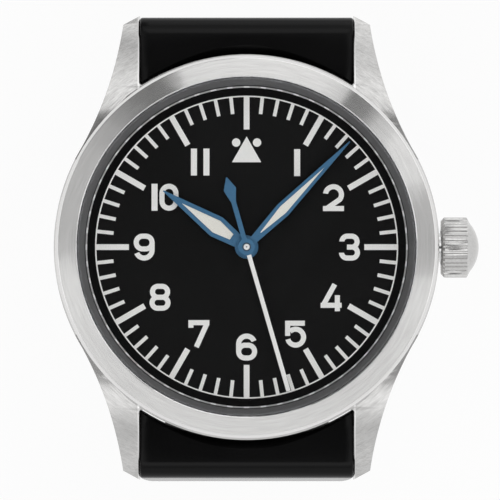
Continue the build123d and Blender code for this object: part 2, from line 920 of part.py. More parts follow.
# The hour and minute hands are long lozenges with a window that is filled with luminous paint.
def draw_blade(clock, points, mode=Mode.ADD):
    """The mirrored outline of a hand or its window, which points at a clock angle."""
    x_axis = dial_point(1, clock + 90)
    y_axis = dial_point(1, clock)
    mirrored = [(along, -side) for along, side in points[::-1] if side]
    corners = [
        (side * x_axis[0] + along * y_axis[0], side * x_axis[1] + along * y_axis[1])
        for along, side in points + mirrored
    ]
    with BuildLine() as outline:
        Polyline(*corners, close=True)
    make_face(outline.edges(), mode=mode)


def window_points(start, start_share, end, wide_at, half_width):
    """Half the outline of the luminous filling, which comes to a point at its far end."""
    return [(start, half_width * start_share), (wide_at, half_width), (end, 0)]


hour_window = window_points(
    hour_lume_start,
    hour_window_start_share,
    hour_lume_end,
    hour_hand_wide_at,
    hour_lume_half_width,
)
minute_window = window_points(
    minute_lume_start,
    minute_window_start_share,
    minute_lume_end,
    minute_hand_wide_at,
    minute_lume_half_width,
)

with BuildPart() as hour_hand:
    with BuildSketch(Plane.XY.offset(hour_hand_z)):
        draw_blade(
            hour_hand_angle,
            [
                (0, hour_hand_waist),
                (hour_hand_wide_at, hour_hand_half_width),
                (hour_hand_length, hand_tip_half_width),
            ],
        )
        Circle(hour_hub_radius)
        draw_blade(hour_hand_angle, hour_window, Mode.SUBTRACT)
        Circle(hour_tube_radius, mode=Mode.SUBTRACT)
    extrude(amount=hand_thickness)
keep(hour_hand, "hour_hand")

with BuildPart() as hour_lume:
    with BuildSketch(Plane.XY.offset(hour_hand_z)):
        draw_blade(hour_hand_angle, hour_window)
    extrude(amount=hand_thickness)
keep(hour_lume, "hour_lume")

with BuildPart() as minute_hand:
    with BuildSketch(Plane.XY.offset(minute_hand_z)):
        draw_blade(
            minute_hand_angle,
            [
                (0, minute_hand_waist),
                (minute_hand_wide_at, minute_hand_half_width),
                (minute_hand_length, hand_tip_half_width),
            ],
        )
        Circle(minute_hub_radius)
        draw_blade(minute_hand_angle, minute_window, Mode.SUBTRACT)
        Circle(cannon_tube_radius, mode=Mode.SUBTRACT)
    extrude(amount=hand_thickness)
keep(minute_hand, "minute_hand")

with BuildPart() as minute_lume:
    with BuildSketch(Plane.XY.offset(minute_hand_z)):
        draw_blade(minute_hand_angle, minute_window)
    extrude(amount=hand_thickness)
keep(minute_lume, "minute_lume")

# The seconds hand is a needle with a hub, a thin tail and a kite-shaped counterweight.
tail_clock = seconds_hand_angle + 180
with BuildPart() as seconds_hand:
    with BuildSketch(Plane.XY.offset(seconds_hand_z)):
        Circle(seconds_hub_radius)
        half_needle = seconds_needle_width / 2
        draw_blade(seconds_hand_angle, [(0, half_needle), (seconds_hand_length, half_needle)])
        half_tail = tail_width / 2
        draw_blade(
            tail_clock,
            [
                (0, half_tail),
                (kite_start, half_tail),
                (kite_wide_at, kite_half_width),
                (kite_end, hand_tip_half_width),
            ],
        )
    extrude(amount=seconds_thickness)
    add_disc(seconds_hand_z, seconds_thickness, seconds_pipe_radius, mode=Mode.SUBTRACT)
keep(seconds_hand, "seconds_hand")

# A bright pipe holds the seconds hand on its arbor.
with BuildPart() as seconds_pipe:
    pipe_z = seconds_hand_z - hand_gap / 2
    pipe_height = hand_gap / 2 + seconds_thickness + seconds_pipe_rise
    add_disc(pipe_z, pipe_height, seconds_pipe_radius)
    add_disc(pipe_z, hand_gap / 2, seconds_arbor_radius, mode=Mode.SUBTRACT)
keep(seconds_pipe, "seconds_pipe")

# Places of the movement's axes in plan
third_place = polar(train_distance, third_direction)
escape_place = polar(escape_distance, escape_direction)
balance_place = polar(balance_distance, balance_direction)
winding_distance = crown_wheel_radius + ratchet_radius
barrel_direction = degrees(
    acos(
        (barrel_distance**2 + crown_wheel_x**2 - winding_distance**2)
        / (2 * barrel_distance * crown_wheel_x)
    )
)
barrel_place = polar(barrel_distance, barrel_direction)
crown_wheel_place = (crown_wheel_x, 0)
minute_wheel_place = polar(motion_distance, minute_wheel_direction)
escape_line_x = (balance_place[0] - escape_place[0]) / escape_to_balance
escape_line_y = (balance_place[1] - escape_place[1]) / escape_to_balance
fork_line = degrees(atan2(escape_line_y, escape_line_x))
pallet_place = polar(escape_to_pallet, fork_line, escape_place)
pallet_foot_place = polar(pallet_foot_offset, fork_line - 90, pallet_place)
cock_foot_place = polar(pillar_ring_radius, cock_foot_direction)
train_top_z = plate_bottom_z
train_low_z = bridge_top_z
pillar_places = [polar(pillar_ring_radius, direction) for direction in pillar_directions]

# The mainplate carries every pivot on the dial side. Its rim holds the dial, and a block under its
# edge at 3 is slotted for the winding parts.
with BuildPart() as mainplate:
    add_disc(plate_bottom_z, plate_thickness, plate_radius)
    with BuildSketch(Plane.XY.offset(plate_top_z)):
        Circle(plate_radius)
        Circle(plate_radius - plate_rim_width, mode=Mode.SUBTRACT)
    extrude(amount=dial_bottom_z - plate_top_z)
    block_end_x = sqrt(plate_radius**2 - keyless_block_half_width**2)
    with BuildSketch(Plane.XY.offset(plate_bottom_z - keyless_block_depth)):
        with Locations(((keyless_block_x + block_end_x) / 2, 0)):
            Rectangle(block_end_x - keyless_block_x, 2 * keyless_block_half_width)
    extrude(amount=keyless_block_depth)
    pinions_start_x = sliding_pinion_x - stem_travel / 2 - play
    pinions_end_x = winding_pinion_x + winding_pinion_length + play
    window_depth = keyless_block_depth + plate_thickness
    with BuildSketch(Plane.XY.offset(plate_bottom_z - keyless_block_depth)):
        with Locations(((pinions_start_x + pinions_end_x) / 2, 0)):
            Rectangle(pinions_end_x - pinions_start_x, 2 * (winding_pinion_radius + play))
    extrude(amount=window_depth, mode=Mode.SUBTRACT)
    add_rod(0, plate_radius, stem_radius + fit_gap, z=stem_z, mode=Mode.SUBTRACT)
    pin_window = stem_travel + 2 * setting_window_margin
    with BuildSketch(Plane.XY.offset(stem_z)):
        with Locations((stem_groove_x + stem_travel / 2, 0)):
            Rectangle(pin_window, 2 * setting_window_margin)
    extrude(amount=plate_top_z - stem_z, mode=Mode.SUBTRACT)
    with BuildSketch(Plane.XY.offset(plate_top_z)):
        with Locations((plate_radius, 0)):
            Rectangle(2 * (plate_rim_width + play), 3 * lever_width)
    extrude(amount=dial_bottom_z - plate_top_z, mode=Mode.SUBTRACT)
    for place in (third_place, escape_place, balance_place, barrel_place, pallet_place):
        add_disc(plate_bottom_z, plate_thickness, jewel_radius, place, Mode.SUBTRACT)
    add_disc(plate_bottom_z, plate_thickness, centre_tube_radius + pivot_gap, mode=Mode.SUBTRACT)
    for place in pillar_places + [cock_foot_place, pallet_foot_place]:
        add_disc(plate_bottom_z, plate_thickness, screw_shank_radius, place, Mode.SUBTRACT)
    stud_height = minute_wheel_z + minute_pinion_height - plate_top_z
    add_disc(plate_top_z, stud_height, arbor_radius, minute_wheel_place)
keep(mainplate, "mainplate")

# The train bridge is a three-quarter plate on four pillars, cut away round the balance.
balance_room = balance_radius + 2 * balance_rim_width
with BuildPart() as train_bridge:
    add_disc(bridge_bottom_z, bridge_thickness, bridge_radius)
    for place in pillar_places:
        add_disc(bridge_top_z, plate_bottom_z - bridge_top_z, pillar_radius, place)
    add_disc(bridge_bottom_z, bridge_thickness, balance_room, balance_place, Mode.SUBTRACT)
    cock_side_place = polar(bridge_radius, (cock_foot_direction + balance_direction) / 2)
    cock_room = 2 * (cock_foot_radius + 2 * jewel_radius)
    add_bar(bridge_bottom_z, bridge_thickness, cock_foot_place, cock_side_place, cock_room, Mode.SUBTRACT)
    with BuildSketch(Plane.XY.offset(bridge_bottom_z)):
        with Locations(((winding_pinion_x + plate_radius) / 2, 0)):
            Rectangle(plate_radius - winding_pinion_x + 2 * play, 2 * (winding_pinion_radius + play))
    extrude(amount=bridge_thickness, mode=Mode.SUBTRACT)
    for place in (third_place, escape_place, (0, 0)):
        add_disc(bridge_bottom_z, bridge_thickness, jewel_radius, place, Mode.SUBTRACT)
    arbor_hole = barrel_arbor_radius + pivot_gap
    add_disc(bridge_bottom_z, bridge_thickness, arbor_hole, barrel_place, Mode.SUBTRACT)
    add_disc(bridge_bottom_z, bridge_thickness, arbor_hole, crown_wheel_place, Mode.SUBTRACT)
    for place in pillar_places:
        pillar_depth = plate_bottom_z - bridge_bottom_z
        add_disc(bridge_bottom_z, pillar_depth, screw_shank_radius, place, Mode.SUBTRACT)
keep(train_bridge, "train_bridge")

# The balance cock reaches from its foot at the edge to the balance's axis.
cock_z = bridge_bottom_z - play - winding_wheel_thickness
cock_span_x = balance_place[0] - cock_foot_place[0]
cock_span_y = balance_place[1] - cock_foot_place[1]
cock_middle = (cock_foot_place[0] + cock_span_x / 2, cock_foot_place[1] + cock_span_y / 2)
with BuildPart() as balance_cock:
    with BuildSketch(Plane.XY.offset(cock_z)):
        with Locations(cock_middle):
            SlotCenterToCenter(
                hypot(cock_span_x, cock_span_y),
                cock_width,
                rotation=degrees(atan2(cock_span_y, cock_span_x)),
            )
    extrude(amount=cock_thickness)
    add_disc(cock_z, plate_bottom_z - cock_z, cock_foot_radius, cock_foot_place)
    add_disc(cock_z, cock_thickness, jewel_radius, balance_place, Mode.SUBTRACT)
    add_disc(cock_z, plate_bottom_z - cock_z, screw_shank_radius, cock_foot_place, Mode.SUBTRACT)
keep(balance_cock, "balance_cock")

# The pallet bridge is a small bar on one foot, under the balance.
with BuildPart() as pallet_bridge:
    bridge_bar_middle = polar(pallet_foot_offset / 2, fork_line - 90, pallet_place)
    with BuildSketch(Plane.XY.offset(pallet_bridge_z)):
        with Locations(bridge_bar_middle):
            SlotCenterToCenter(pallet_foot_offset, pallet_bridge_width, rotation=fork_line - 90)
    extrude(amount=pallet_bridge_thickness)
    foot_height = plate_bottom_z - pallet_bridge_z
    add_disc(pallet_bridge_z, foot_height, pallet_foot_radius, pallet_foot_place)
    hole_radius = pivot_radius + pivot_gap
    add_disc(pallet_bridge_z, pallet_bridge_thickness, hole_radius, pallet_place, Mode.SUBTRACT)
    add_disc(pallet_bridge_z, foot_height, screw_shank_radius, pallet_foot_place, Mode.SUBTRACT)
keep(pallet_bridge, "pallet_bridge")


def add_screw(place, head_z, shank_end_z):
    """A slotted screw with its head towards the case back."""
    add_disc(head_z - screw_head_height, screw_head_height, screw_head_radius, place)
    add_disc(head_z, shank_end_z - head_z, screw_shank_radius, place)
    with BuildSketch(Plane.XY.offset(head_z - screw_head_height)) as profile:
        with Locations(place):
            Rectangle(2 * screw_head_radius, screw_slot_width)
    extrude(profile.sketch, amount=screw_slot_depth, mode=Mode.SUBTRACT)


with BuildPart() as bridge_screws:
    for place in pillar_places:
        add_screw(place, bridge_bottom_z, plate_top_z)
    add_screw(cock_foot_place, cock_z, plate_top_z)
    add_disc(pallet_bridge_z - play, play, screw_shank_radius, pallet_foot_place)
    add_disc(pallet_bridge_z, plate_top_z - pallet_bridge_z, screw_shank_radius, pallet_foot_place)
keep(bridge_screws, "bridge_screws")

# Jewels are pressed into the plates and hold the pivots.
plate_jewel_z = plate_bottom_z
with BuildPart() as jewels:
    for place in (third_place, escape_place, balance_place, pallet_place):
        add_disc(plate_jewel_z, plate_thickness, jewel_radius, place)
        add_disc(plate_jewel_z, plate_thickness, pivot_radius + pivot_gap, place, Mode.SUBTRACT)
    for place in (third_place, escape_place, (0, 0)):
        add_disc(bridge_bottom_z, bridge_thickness, jewel_radius, place)
        add_disc(bridge_bottom_z, bridge_thickness, pivot_radius + pivot_gap, place, Mode.SUBTRACT)
    add_disc(cock_z, cock_thickness, jewel_radius, balance_place)
    add_disc(cock_z, cock_thickness, pivot_radius + pivot_gap, balance_place, Mode.SUBTRACT)
keep(jewels, "jewels")

# The barrel is a toothed drum. Its arbor is square to the ratchet wheel outside the bridge.
centre_pinion_radius = barrel_distance - barrel_pitch_radius
barrel_top_z = barrel_z + barrel_height
with BuildPart() as barrel:
    add_gear(
        barrel_teeth_z,
        barrel_teeth_height,
        barrel_place,
        barrel_teeth,
        barrel_pitch_radius,
        barrel_direction + 180,
    )
    add_disc(barrel_z, barrel_height, barrel_drum_radius, barrel_place)
    hollow = barrel_height - 2 * barrel_wall
    hollow_radius = barrel_drum_radius - barrel_wall
    add_disc(barrel_z + barrel_wall, hollow, hollow_radius, barrel_place, Mode.SUBTRACT)
    arbor_room = barrel_arbor_radius + pivot_gap
    add_disc(barrel_z, barrel_height, arbor_room, barrel_place, Mode.SUBTRACT)
keep(barrel, "barrel")


def add_spiral(centre, start_radius, step, half_turns):
    """A flat spiral of half circles, each larger than the last by one step."""
    x, y = centre
    for half_turn in range(half_turns):
        is_lower = half_turn % 2
        CenterArc((x + step * is_lower, y), start_radius + step * half_turn, 180 * is_lower, 180)


# The mainspring is one strip, wound from near the arbor out to the barrel's wall.
with BuildPart() as mainspring:
    spring_start = barrel_core_radius + spring_strip
    spring_room = hollow_radius - spring_start - 2 * spring_strip
    with BuildSketch(Plane.XY.offset(barrel_z + barrel_wall + play)):
        with BuildLine():
            spring_step = spring_room / mainspring_half_turns
            add_spiral(barrel_place, spring_start, spring_step, mainspring_half_turns)
        trace(line_width=spring_strip)
    extrude(amount=hollow - 2 * play)
keep(mainspring, "mainspring")

# The ratchet wheel is square to the barrel's arbor and winds the spring.
with BuildPart() as ratchet_wheel:
    add_gear(
        winding_wheels_z,
        winding_wheel_thickness,
        barrel_place,
        ratchet_teeth,
        ratchet_radius,
        degrees(atan2(-barrel_place[1], crown_wheel_x - barrel_place[0])),
    )
    arbor_length = barrel_top_z - winding_wheels_z
    add_disc(winding_wheels_z, arbor_length, barrel_arbor_radius, barrel_place)
    core_z = barrel_z + barrel_wall + play
    add_disc(core_z, hollow - 2 * play, barrel_core_radius, barrel_place)
    screw_z = winding_wheels_z - winding_screw_height
    add_disc(screw_z, winding_screw_height, winding_screw_radius, barrel_place)
keep(ratchet_wheel, "ratchet_wheel")

# The crown wheel turns on a stud in the bridge, between the winding pinion and the ratchet wheel.
with BuildPart() as crown_wheel:
    add_gear(
        winding_wheels_z,
        winding_wheel_thickness,
        crown_wheel_place,
        crown_wheel_teeth,
        crown_wheel_radius,
        degrees(atan2(barrel_place[1], barrel_place[0] - crown_wheel_x)) + 180 / crown_wheel_teeth,
    )
    stud_length = bridge_top_z - winding_wheels_z
    add_disc(winding_wheels_z, stud_length, barrel_arbor_radius, crown_wheel_place)
    add_disc(screw_z, winding_screw_height, winding_screw_radius, crown_wheel_place)
keep(crown_wheel, "crown_wheel")


# The click stops the ratchet wheel from running back. It turns on a pin in the bridge.
click_pivot_place = polar(ratchet_radius + click_pivot_gap, click_pivot_direction, barrel_place)
click_tip_place = polar(ratchet_radius + click_width, click_tip_direction, barrel_place)
with BuildPart() as click:
    add_bar(winding_wheels_z, winding_wheel_thickness, click_pivot_place, click_tip_place, click_width)
    add_disc(screw_z, winding_screw_height, click_width / 2, click_pivot_place)
keep(click, "click")

# The centre wheel runs on a hollow arbor, through which the seconds arbor passes.
centre_wheel_radius = train_distance * centre_teeth / (centre_teeth + third_pinion_leaves)
third_pinion_radius = train_distance - centre_wheel_radius
centre_tube_top_z = dial_top_z + play
with BuildPart() as centre_wheel:
    add_gear(centre_wheel_z, wheel_thickness, (0, 0), centre_teeth, centre_wheel_radius, third_direction)
    cut_spokes(centre_wheel_z, wheel_thickness, (0, 0), centre_wheel_radius)
    add_gear(
        centre_pinion_z,
        centre_pinion_height,
        (0, 0),
        centre_pinion_leaves,
        centre_pinion_radius,
        barrel_direction + 180 / centre_pinion_leaves,
    )
    tube_length = centre_tube_top_z - centre_wheel_z
    add_disc(centre_wheel_z, tube_length, centre_tube_radius)
    add_disc(centre_wheel_z, tube_length, centre_tube_bore, mode=Mode.SUBTRACT)
keep(centre_wheel, "centre_wheel")

third_wheel_radius = train_distance * third_teeth / (third_teeth + fourth_pinion_leaves)
fourth_pinion_radius = train_distance - third_wheel_radius
with BuildPart() as third_wheel:
    add_gear(
        third_wheel_z,
        wheel_thickness,
        third_place,
        third_teeth,
        third_wheel_radius,
        third_direction + 180,
    )
    cut_spokes(third_wheel_z, wheel_thickness, third_place, third_wheel_radius)
    add_gear(
        centre_wheel_z - play,
        wheel_thickness + 2 * play,
        third_place,
        third_pinion_leaves,
        third_pinion_radius,
        third_direction + 180 + 180 / third_pinion_leaves,
    )
    add_arbor(third_place, train_low_z, train_top_z)
keep(third_wheel, "third_wheel")

fourth_wheel_radius = escape_distance * fourth_teeth / (fourth_teeth + escape_pinion_leaves)
escape_pinion_radius = escape_distance - fourth_wheel_radius
with BuildPart() as fourth_wheel:
    add_gear(fourth_wheel_z, wheel_thickness, (0, 0), fourth_teeth, fourth_wheel_radius, escape_direction)
    cut_spokes(fourth_wheel_z, wheel_thickness, (0, 0), fourth_wheel_radius)
    add_gear(
        fourth_pinion_z,
        centre_wheel_z - play - fourth_pinion_z,
        (0, 0),
        fourth_pinion_leaves,
        fourth_pinion_radius,
        third_direction + 180 / fourth_pinion_leaves,
    )
    add_disc(fourth_wheel_z, seconds_hand_z - fourth_wheel_z, seconds_arbor_radius)
    pivot_start_z = train_low_z - jewel_thickness
    add_disc(pivot_start_z, fourth_wheel_z - pivot_start_z, pivot_radius)
keep(fourth_wheel, "fourth_wheel")

with BuildPart() as escape_wheel:
    with BuildSketch(Plane.XY.offset(escape_wheel_z)):
        tooth_step = 360 / escape_teeth
        root_radius = escape_radius - escape_tooth_depth
        corners = []
        for tooth in range(escape_teeth):
            start = tooth * tooth_step
            corners.append(polar(root_radius, start, escape_place))
            corners.append(polar(escape_radius, start + tooth_step / 4, escape_place))
            corners.append(polar(escape_radius, start + tooth_step / 3, escape_place))
            corners.append(polar(root_radius, start + tooth_step / 2, escape_place))
        with BuildLine():
            Polyline(*corners, close=True)
        make_face()
    extrude(amount=wheel_thickness)
    cut_spokes(escape_wheel_z, wheel_thickness, escape_place, root_radius)
    add_gear(
        fourth_wheel_z - play,
        wheel_thickness + 2 * play,
        escape_place,
        escape_pinion_leaves,
        escape_pinion_radius,
        escape_direction + 180 + 180 / escape_pinion_leaves,
    )
    add_arbor(escape_place, train_low_z, train_top_z)
keep(escape_wheel, "escape_wheel")

# The pallet fork has two arms with stones beside the escape wheel, and a slotted end at the balance.
fork_reach = escape_to_balance - escape_to_pallet - impulse_pin_offset
with BuildPart() as pallet_fork:
    fork_end = polar(fork_reach + fork_arm_width / 2, fork_line, pallet_place)
    add_bar(fork_z, fork_thickness, pallet_place, fork_end, 2 * fork_arm_width)
    for side in (-1, 1):
        stone_direction = fork_line + side * fork_stone_spread
        stone_place = polar(escape_radius + fork_stone_gap, stone_direction, escape_place)
        add_bar(fork_z, fork_thickness, pallet_place, stone_place, fork_arm_width)
    slot_width = 2 * (impulse_pin_radius + pivot_gap)
    slot_start = polar(fork_reach - slot_width / 2, fork_line, pallet_place)
    slot_end = polar(fork_reach + 2 * fork_arm_width, fork_line, pallet_place)
    add_bar(fork_z, fork_thickness, slot_start, slot_end, slot_width, Mode.SUBTRACT)
    fork_arbor_z = pallet_bridge_z + pallet_bridge_thickness + play
    add_disc(fork_arbor_z, plate_bottom_z - play - fork_arbor_z, arbor_radius, pallet_place)
    pivot_height = plate_bottom_z + jewel_thickness - pallet_bridge_z
    add_disc(pallet_bridge_z, pivot_height, pivot_radius, pallet_place)
keep(pallet_fork, "pallet_fork")

with BuildPart() as balance_wheel:
    with BuildSketch(Plane.XY.offset(balance_rim_z)):
        with Locations(balance_place):
            Circle(balance_radius)
            Circle(balance_radius - balance_rim_width, mode=Mode.SUBTRACT)
    extrude(amount=balance_rim_height)
    for arm in range(3):
        rim_point = polar(balance_radius - balance_rim_width / 2, 120 * arm + 90, balance_place)
        add_bar(balance_rim_z + play, balance_arm_height, balance_place, rim_point, balance_arm_width)
    cock_bottom_z = cock_z + cock_thickness
    add_disc(cock_bottom_z + play, plate_bottom_z - cock_bottom_z - 2 * play, arbor_radius, balance_place)
    staff_pivot_z = cock_bottom_z - jewel_thickness
    staff_length = plate_bottom_z + jewel_thickness - staff_pivot_z
    add_disc(staff_pivot_z, staff_length, pivot_radius, balance_place)
    add_disc(hairspring_z, hairspring_height, 2 * arbor_radius, balance_place)
    add_disc(roller_z, roller_height, roller_radius, balance_place)
    pin_place = polar(impulse_pin_offset, fork_line + 180, balance_place)
    add_disc(roller_z - impulse_pin_height, impulse_pin_height, impulse_pin_radius, pin_place)
keep(balance_wheel, "balance_wheel")

with BuildPart() as hairspring:
    with BuildSketch(Plane.XY.offset(hairspring_z)):
        with BuildLine():
            add_spiral(balance_place, hairspring_start_radius, hairspring_pitch / 2, hairspring_half_turns)
        trace(line_width=hairspring_strip)
    extrude(amount=hairspring_height)
keep(hairspring, "hairspring")

# Motion works under the dial: cannon pinion, minute wheel and hour wheel.
minute_wheel_radius = motion_distance * minute_teeth / (minute_teeth + cannon_leaves)
cannon_pinion_radius = motion_distance - minute_wheel_radius
hour_wheel_radius = motion_distance * hour_teeth / (hour_teeth + minute_pinion_leaves)
minute_pinion_radius = motion_distance - hour_wheel_radius
with BuildPart() as cannon_pinion:
    add_gear(
        cannon_pinion_z,
        cannon_pinion_height,
        (0, 0),
        cannon_leaves,
        cannon_pinion_radius,
        minute_wheel_direction + 180 / cannon_leaves,
    )
    cannon_length = minute_hand_z + hand_thickness - cannon_pinion_z
    add_disc(cannon_pinion_z, cannon_length, cannon_tube_radius)
    add_disc(cannon_pinion_z, cannon_length, centre_tube_radius, mode=Mode.SUBTRACT)
keep(cannon_pinion, "cannon_pinion")

with BuildPart() as minute_wheel:
    add_gear(
        minute_wheel_z,
        wheel_thickness,
        minute_wheel_place,
        minute_teeth,
        minute_wheel_radius,
        minute_wheel_direction + 180,
    )
    cut_spokes(minute_wheel_z, wheel_thickness, minute_wheel_place, minute_wheel_radius)
    add_gear(
        minute_wheel_z,
        minute_pinion_height,
        minute_wheel_place,
        minute_pinion_leaves,
        minute_pinion_radius,
        minute_wheel_direction + 180 + 180 / minute_pinion_leaves,
    )
    bore = arbor_radius + pivot_gap
    add_disc(minute_wheel_z, minute_pinion_height, bore, minute_wheel_place, Mode.SUBTRACT)
keep(minute_wheel, "minute_wheel")

with BuildPart() as hour_wheel:
    add_gear(
        hour_wheel_z, hour_wheel_thickness, (0, 0), hour_teeth, hour_wheel_radius, minute_wheel_direction
    )
    hour_tube_length = hour_hand_z + hand_thickness - hour_wheel_z
    add_disc(hour_wheel_z, hour_tube_length, hour_tube_radius)
    hour_bore = cannon_tube_radius + pivot_gap
    add_disc(hour_wheel_z, hour_tube_length, hour_bore, mode=Mode.SUBTRACT)
keep(hour_wheel, "hour_wheel")

# Stem and crown: the stem screws into a post inside the crown.
crown_end_x = crown_start_x + crown_body_length
crown_floor_x = crown_end_x - crown_wall
with BuildPart() as stem:
    add_rod(stem_pilot_x, crown_floor_x - stem_pilot_x, stem_radius, z=stem_z)
    with BuildSketch(Plane.YZ.offset(stem_groove_x - stem_groove_width / 2)):
        with Locations((0, stem_z)):
            Circle(stem_radius)
            Circle(stem_radius - stem_groove_depth, mode=Mode.SUBTRACT)
    extrude(amount=stem_groove_width, mode=Mode.SUBTRACT)
keep(stem, "stem")

# The crown is a fluted cup with bevelled ends and a smooth domed cap.
with BuildPart() as crown:
    flute_step = 360 / crown_rib_count
    flutes = []
    for rib in range(crown_rib_count):
        start = rib * flute_step
        valley_radius = crown_radius - crown_rib_depth
        rib_radii = (crown_radius, crown_radius, valley_radius, valley_radius)
        for share, radius in zip(rib_corner_shares, rib_radii):
            y, z = polar(radius, start + share * flute_step)
            flutes.append((y, z + stem_z))
    with BuildSketch(Plane.YZ.offset(crown_start_x)):
        with BuildLine():
            Polyline(*flutes, close=True)
        make_face()
    extrude(amount=crown_body_length)
    crown_axis = Axis((0, 0, stem_z), (1, 0, 0))
    with BuildSketch(Plane.XZ):
        with BuildLine():
            Polyline(
                (crown_start_x, stem_z),
                (crown_start_x, stem_z + crown_radius - crown_end_chamfer),
                (crown_start_x + crown_end_chamfer, stem_z + crown_radius),
                (crown_end_x - crown_end_chamfer, stem_z + crown_radius),
                (crown_end_x, stem_z + crown_dome_radius),
                (crown_end_x, stem_z),
                close=True,
            )
        make_face()
    revolve(axis=crown_axis, mode=Mode.INTERSECT)
    with BuildSketch(Plane.XZ):
        with BuildLine():
            dome_edge = (crown_end_x, stem_z + crown_dome_radius)
            dome_top = (crown_end_x + crown_dome_length, stem_z)
            TangentArc(dome_top, dome_edge, tangent=(0, 1))
            Polyline(dome_edge, (crown_end_x, stem_z), dome_top)
        make_face()
    revolve(axis=crown_axis)
    with BuildSketch(Plane.YZ.offset(crown_start_x)):
        with Locations((0, stem_z)):
            Circle(crown_cavity_radius)
    extrude(amount=crown_floor_x - crown_start_x, mode=Mode.SUBTRACT)
    post_length = crown_floor_x - crown_post_start_x
    add_rod(crown_post_start_x, post_length, crown_post_radius, z=stem_z)
    add_rod(crown_post_start_x, post_length, stem_radius, z=stem_z, mode=Mode.SUBTRACT)
keep(crown, "crown")

with BuildPart() as crown_gasket:
    gasket_x = (crown_post_start_x + crown_tube_end_x) / 2
    add_rod(gasket_x, crown_gasket_width, crown_cavity_radius, z=stem_z)
    gasket_bore = crown_tube_outer + pivot_gap
    add_rod(gasket_x, crown_gasket_width, gasket_bore, z=stem_z, mode=Mode.SUBTRACT)
keep(crown_gasket, "crown_gasket")


def add_stem_pinion(start_x, length, radius, teeth):
    """A toothed sleeve round the stem."""
    outline = [(y, z + stem_z) for y, z in tooth_outline((0, 0), teeth, radius, 0)]
    with BuildSketch(Plane.YZ.offset(start_x)) as profile:
        with BuildLine():
            Polyline(*outline, close=True)
        make_face()
        with Locations((0, stem_z)):
            Circle(stem_radius + fit_gap, mode=Mode.SUBTRACT)
    extrude(profile.sketch, amount=length)


def pitch_of(outer_radius, teeth):
    """The pitch radius of a rim whose teeth reach an outer radius."""
    return outer_radius / (1 + 2 * addendum_share / teeth)


with BuildPart() as winding_pinion:
    winding_pitch = pitch_of(winding_pinion_radius, winding_pinion_teeth)
    add_stem_pinion(winding_pinion_x, winding_pinion_length, winding_pitch, winding_pinion_teeth)
keep(winding_pinion, "winding_pinion")

with BuildPart() as sliding_pinion:
    sliding_pitch = pitch_of(sliding_pinion_radius, sliding_pinion_teeth)
    add_stem_pinion(sliding_pinion_x, sliding_pinion_length, sliding_pitch, sliding_pinion_teeth)
    with BuildSketch(Plane.YZ.offset(pinion_groove_x)):
        with Locations((0, stem_z)):
            Circle(sliding_pinion_radius + play)
            Circle(sliding_pinion_radius - pinion_groove_depth, mode=Mode.SUBTRACT)
    extrude(amount=pinion_groove_width, mode=Mode.SUBTRACT)
keep(sliding_pinion, "sliding_pinion")

# The setting lever's pin follows the groove of the stem, and the yoke's finger that of the pinion.
lever_z = plate_top_z + play
lever_pivot_place = (stem_groove_x + stem_travel / 2, lever_pivot_y)
with BuildPart() as setting_lever:
    add_bar(lever_z, lever_thickness, lever_pivot_place, (stem_groove_x, 0), lever_width)
    pin_z = stem_z + stem_radius - stem_groove_depth + play
    add_disc(pin_z, lever_z - pin_z, lever_pin_radius, (stem_groove_x, 0))
keep(setting_lever, "setting_lever")

with BuildPart() as yoke:
    finger_place = (finger_x, 0)
    add_bar(lever_z, lever_thickness, (yoke_pivot_x, yoke_pivot_y), finger_place, yoke_width)
    finger_z = stem_z + sliding_pinion_radius - pinion_groove_depth + play
    add_disc(finger_z, lever_z - finger_z, yoke_finger_radius, finger_place)
keep(yoke, "yoke")


# Each spring bar is a tube with two sprung tips that enter the lugs.
def add_spring_bar(y):
    bar_length = lug_gap - 2 * strap_side_gap
    add_rod(-bar_length / 2, bar_length, spring_bar_radius, y, bar_z)
    tips_length = lug_gap + 2 * spring_bar_tip_reach
    add_rod(-tips_length / 2, tips_length, spring_bar_tip_radius, y, bar_z)


with BuildPart() as spring_bar_12:
    add_spring_bar(bar_y)
keep(spring_bar_12, "spring_bar_12")

with BuildPart() as spring_bar_6:
    add_spring_bar(-bar_y)
keep(spring_bar_6, "spring_bar_6")

# The strap is a closed loop under the case. Its sides are long arcs that meet a round bottom.
strap_half_width = half_gap - strap_side_gap
side_shift = (strap_inner_top_y**2 + loop_drop**2 - loop_radius**2) / (
    2 * (loop_radius - strap_inner_top_y)
)
side_radius = loop_radius + side_shift
side_sweep = degrees(asin(loop_drop / side_radius))


def loop_point(radius, angle):
    """A point of the loop's cross-section, with the angle from straight down towards 12."""
    return (radius * sin(radians(angle)), loop_z - radius * cos(radians(angle)))


def add_side_bar(start, end, width, x, thickness, mode=Mode.ADD):
    """A round-ended bar between two points of the loop's cross-section."""
    span_y, span_z = end[0] - start[0], end[1] - start[1]
    with BuildSketch(Plane.YZ.offset(x)) as profile:
        with Locations((start[0] + span_y / 2, start[1] + span_z / 2)):
            SlotCenterToCenter(hypot(span_y, span_z), width, rotation=degrees(atan2(span_z, span_y)))
    extrude(profile.sketch, amount=thickness, mode=mode)


def draw_band(arcs):
    """A band of the strap's thickness outside a chain of arcs that turn on without a corner."""
    with BuildLine() as outline:
        for extra in (0, strap_thickness):
            for y, z, radius, start, sweep_angle in arcs:
                CenterArc((y, z), radius + extra, start, sweep_angle)
        for y, z, radius, angle in (
            (*arcs[0][:3], arcs[0][3]),
            (*arcs[-1][:3], arcs[-1][3] + arcs[-1][4]),
        ):
            Line(polar(radius, angle, (y, z)), polar(radius + strap_thickness, angle, (y, z)))
    make_face(outline.edges())


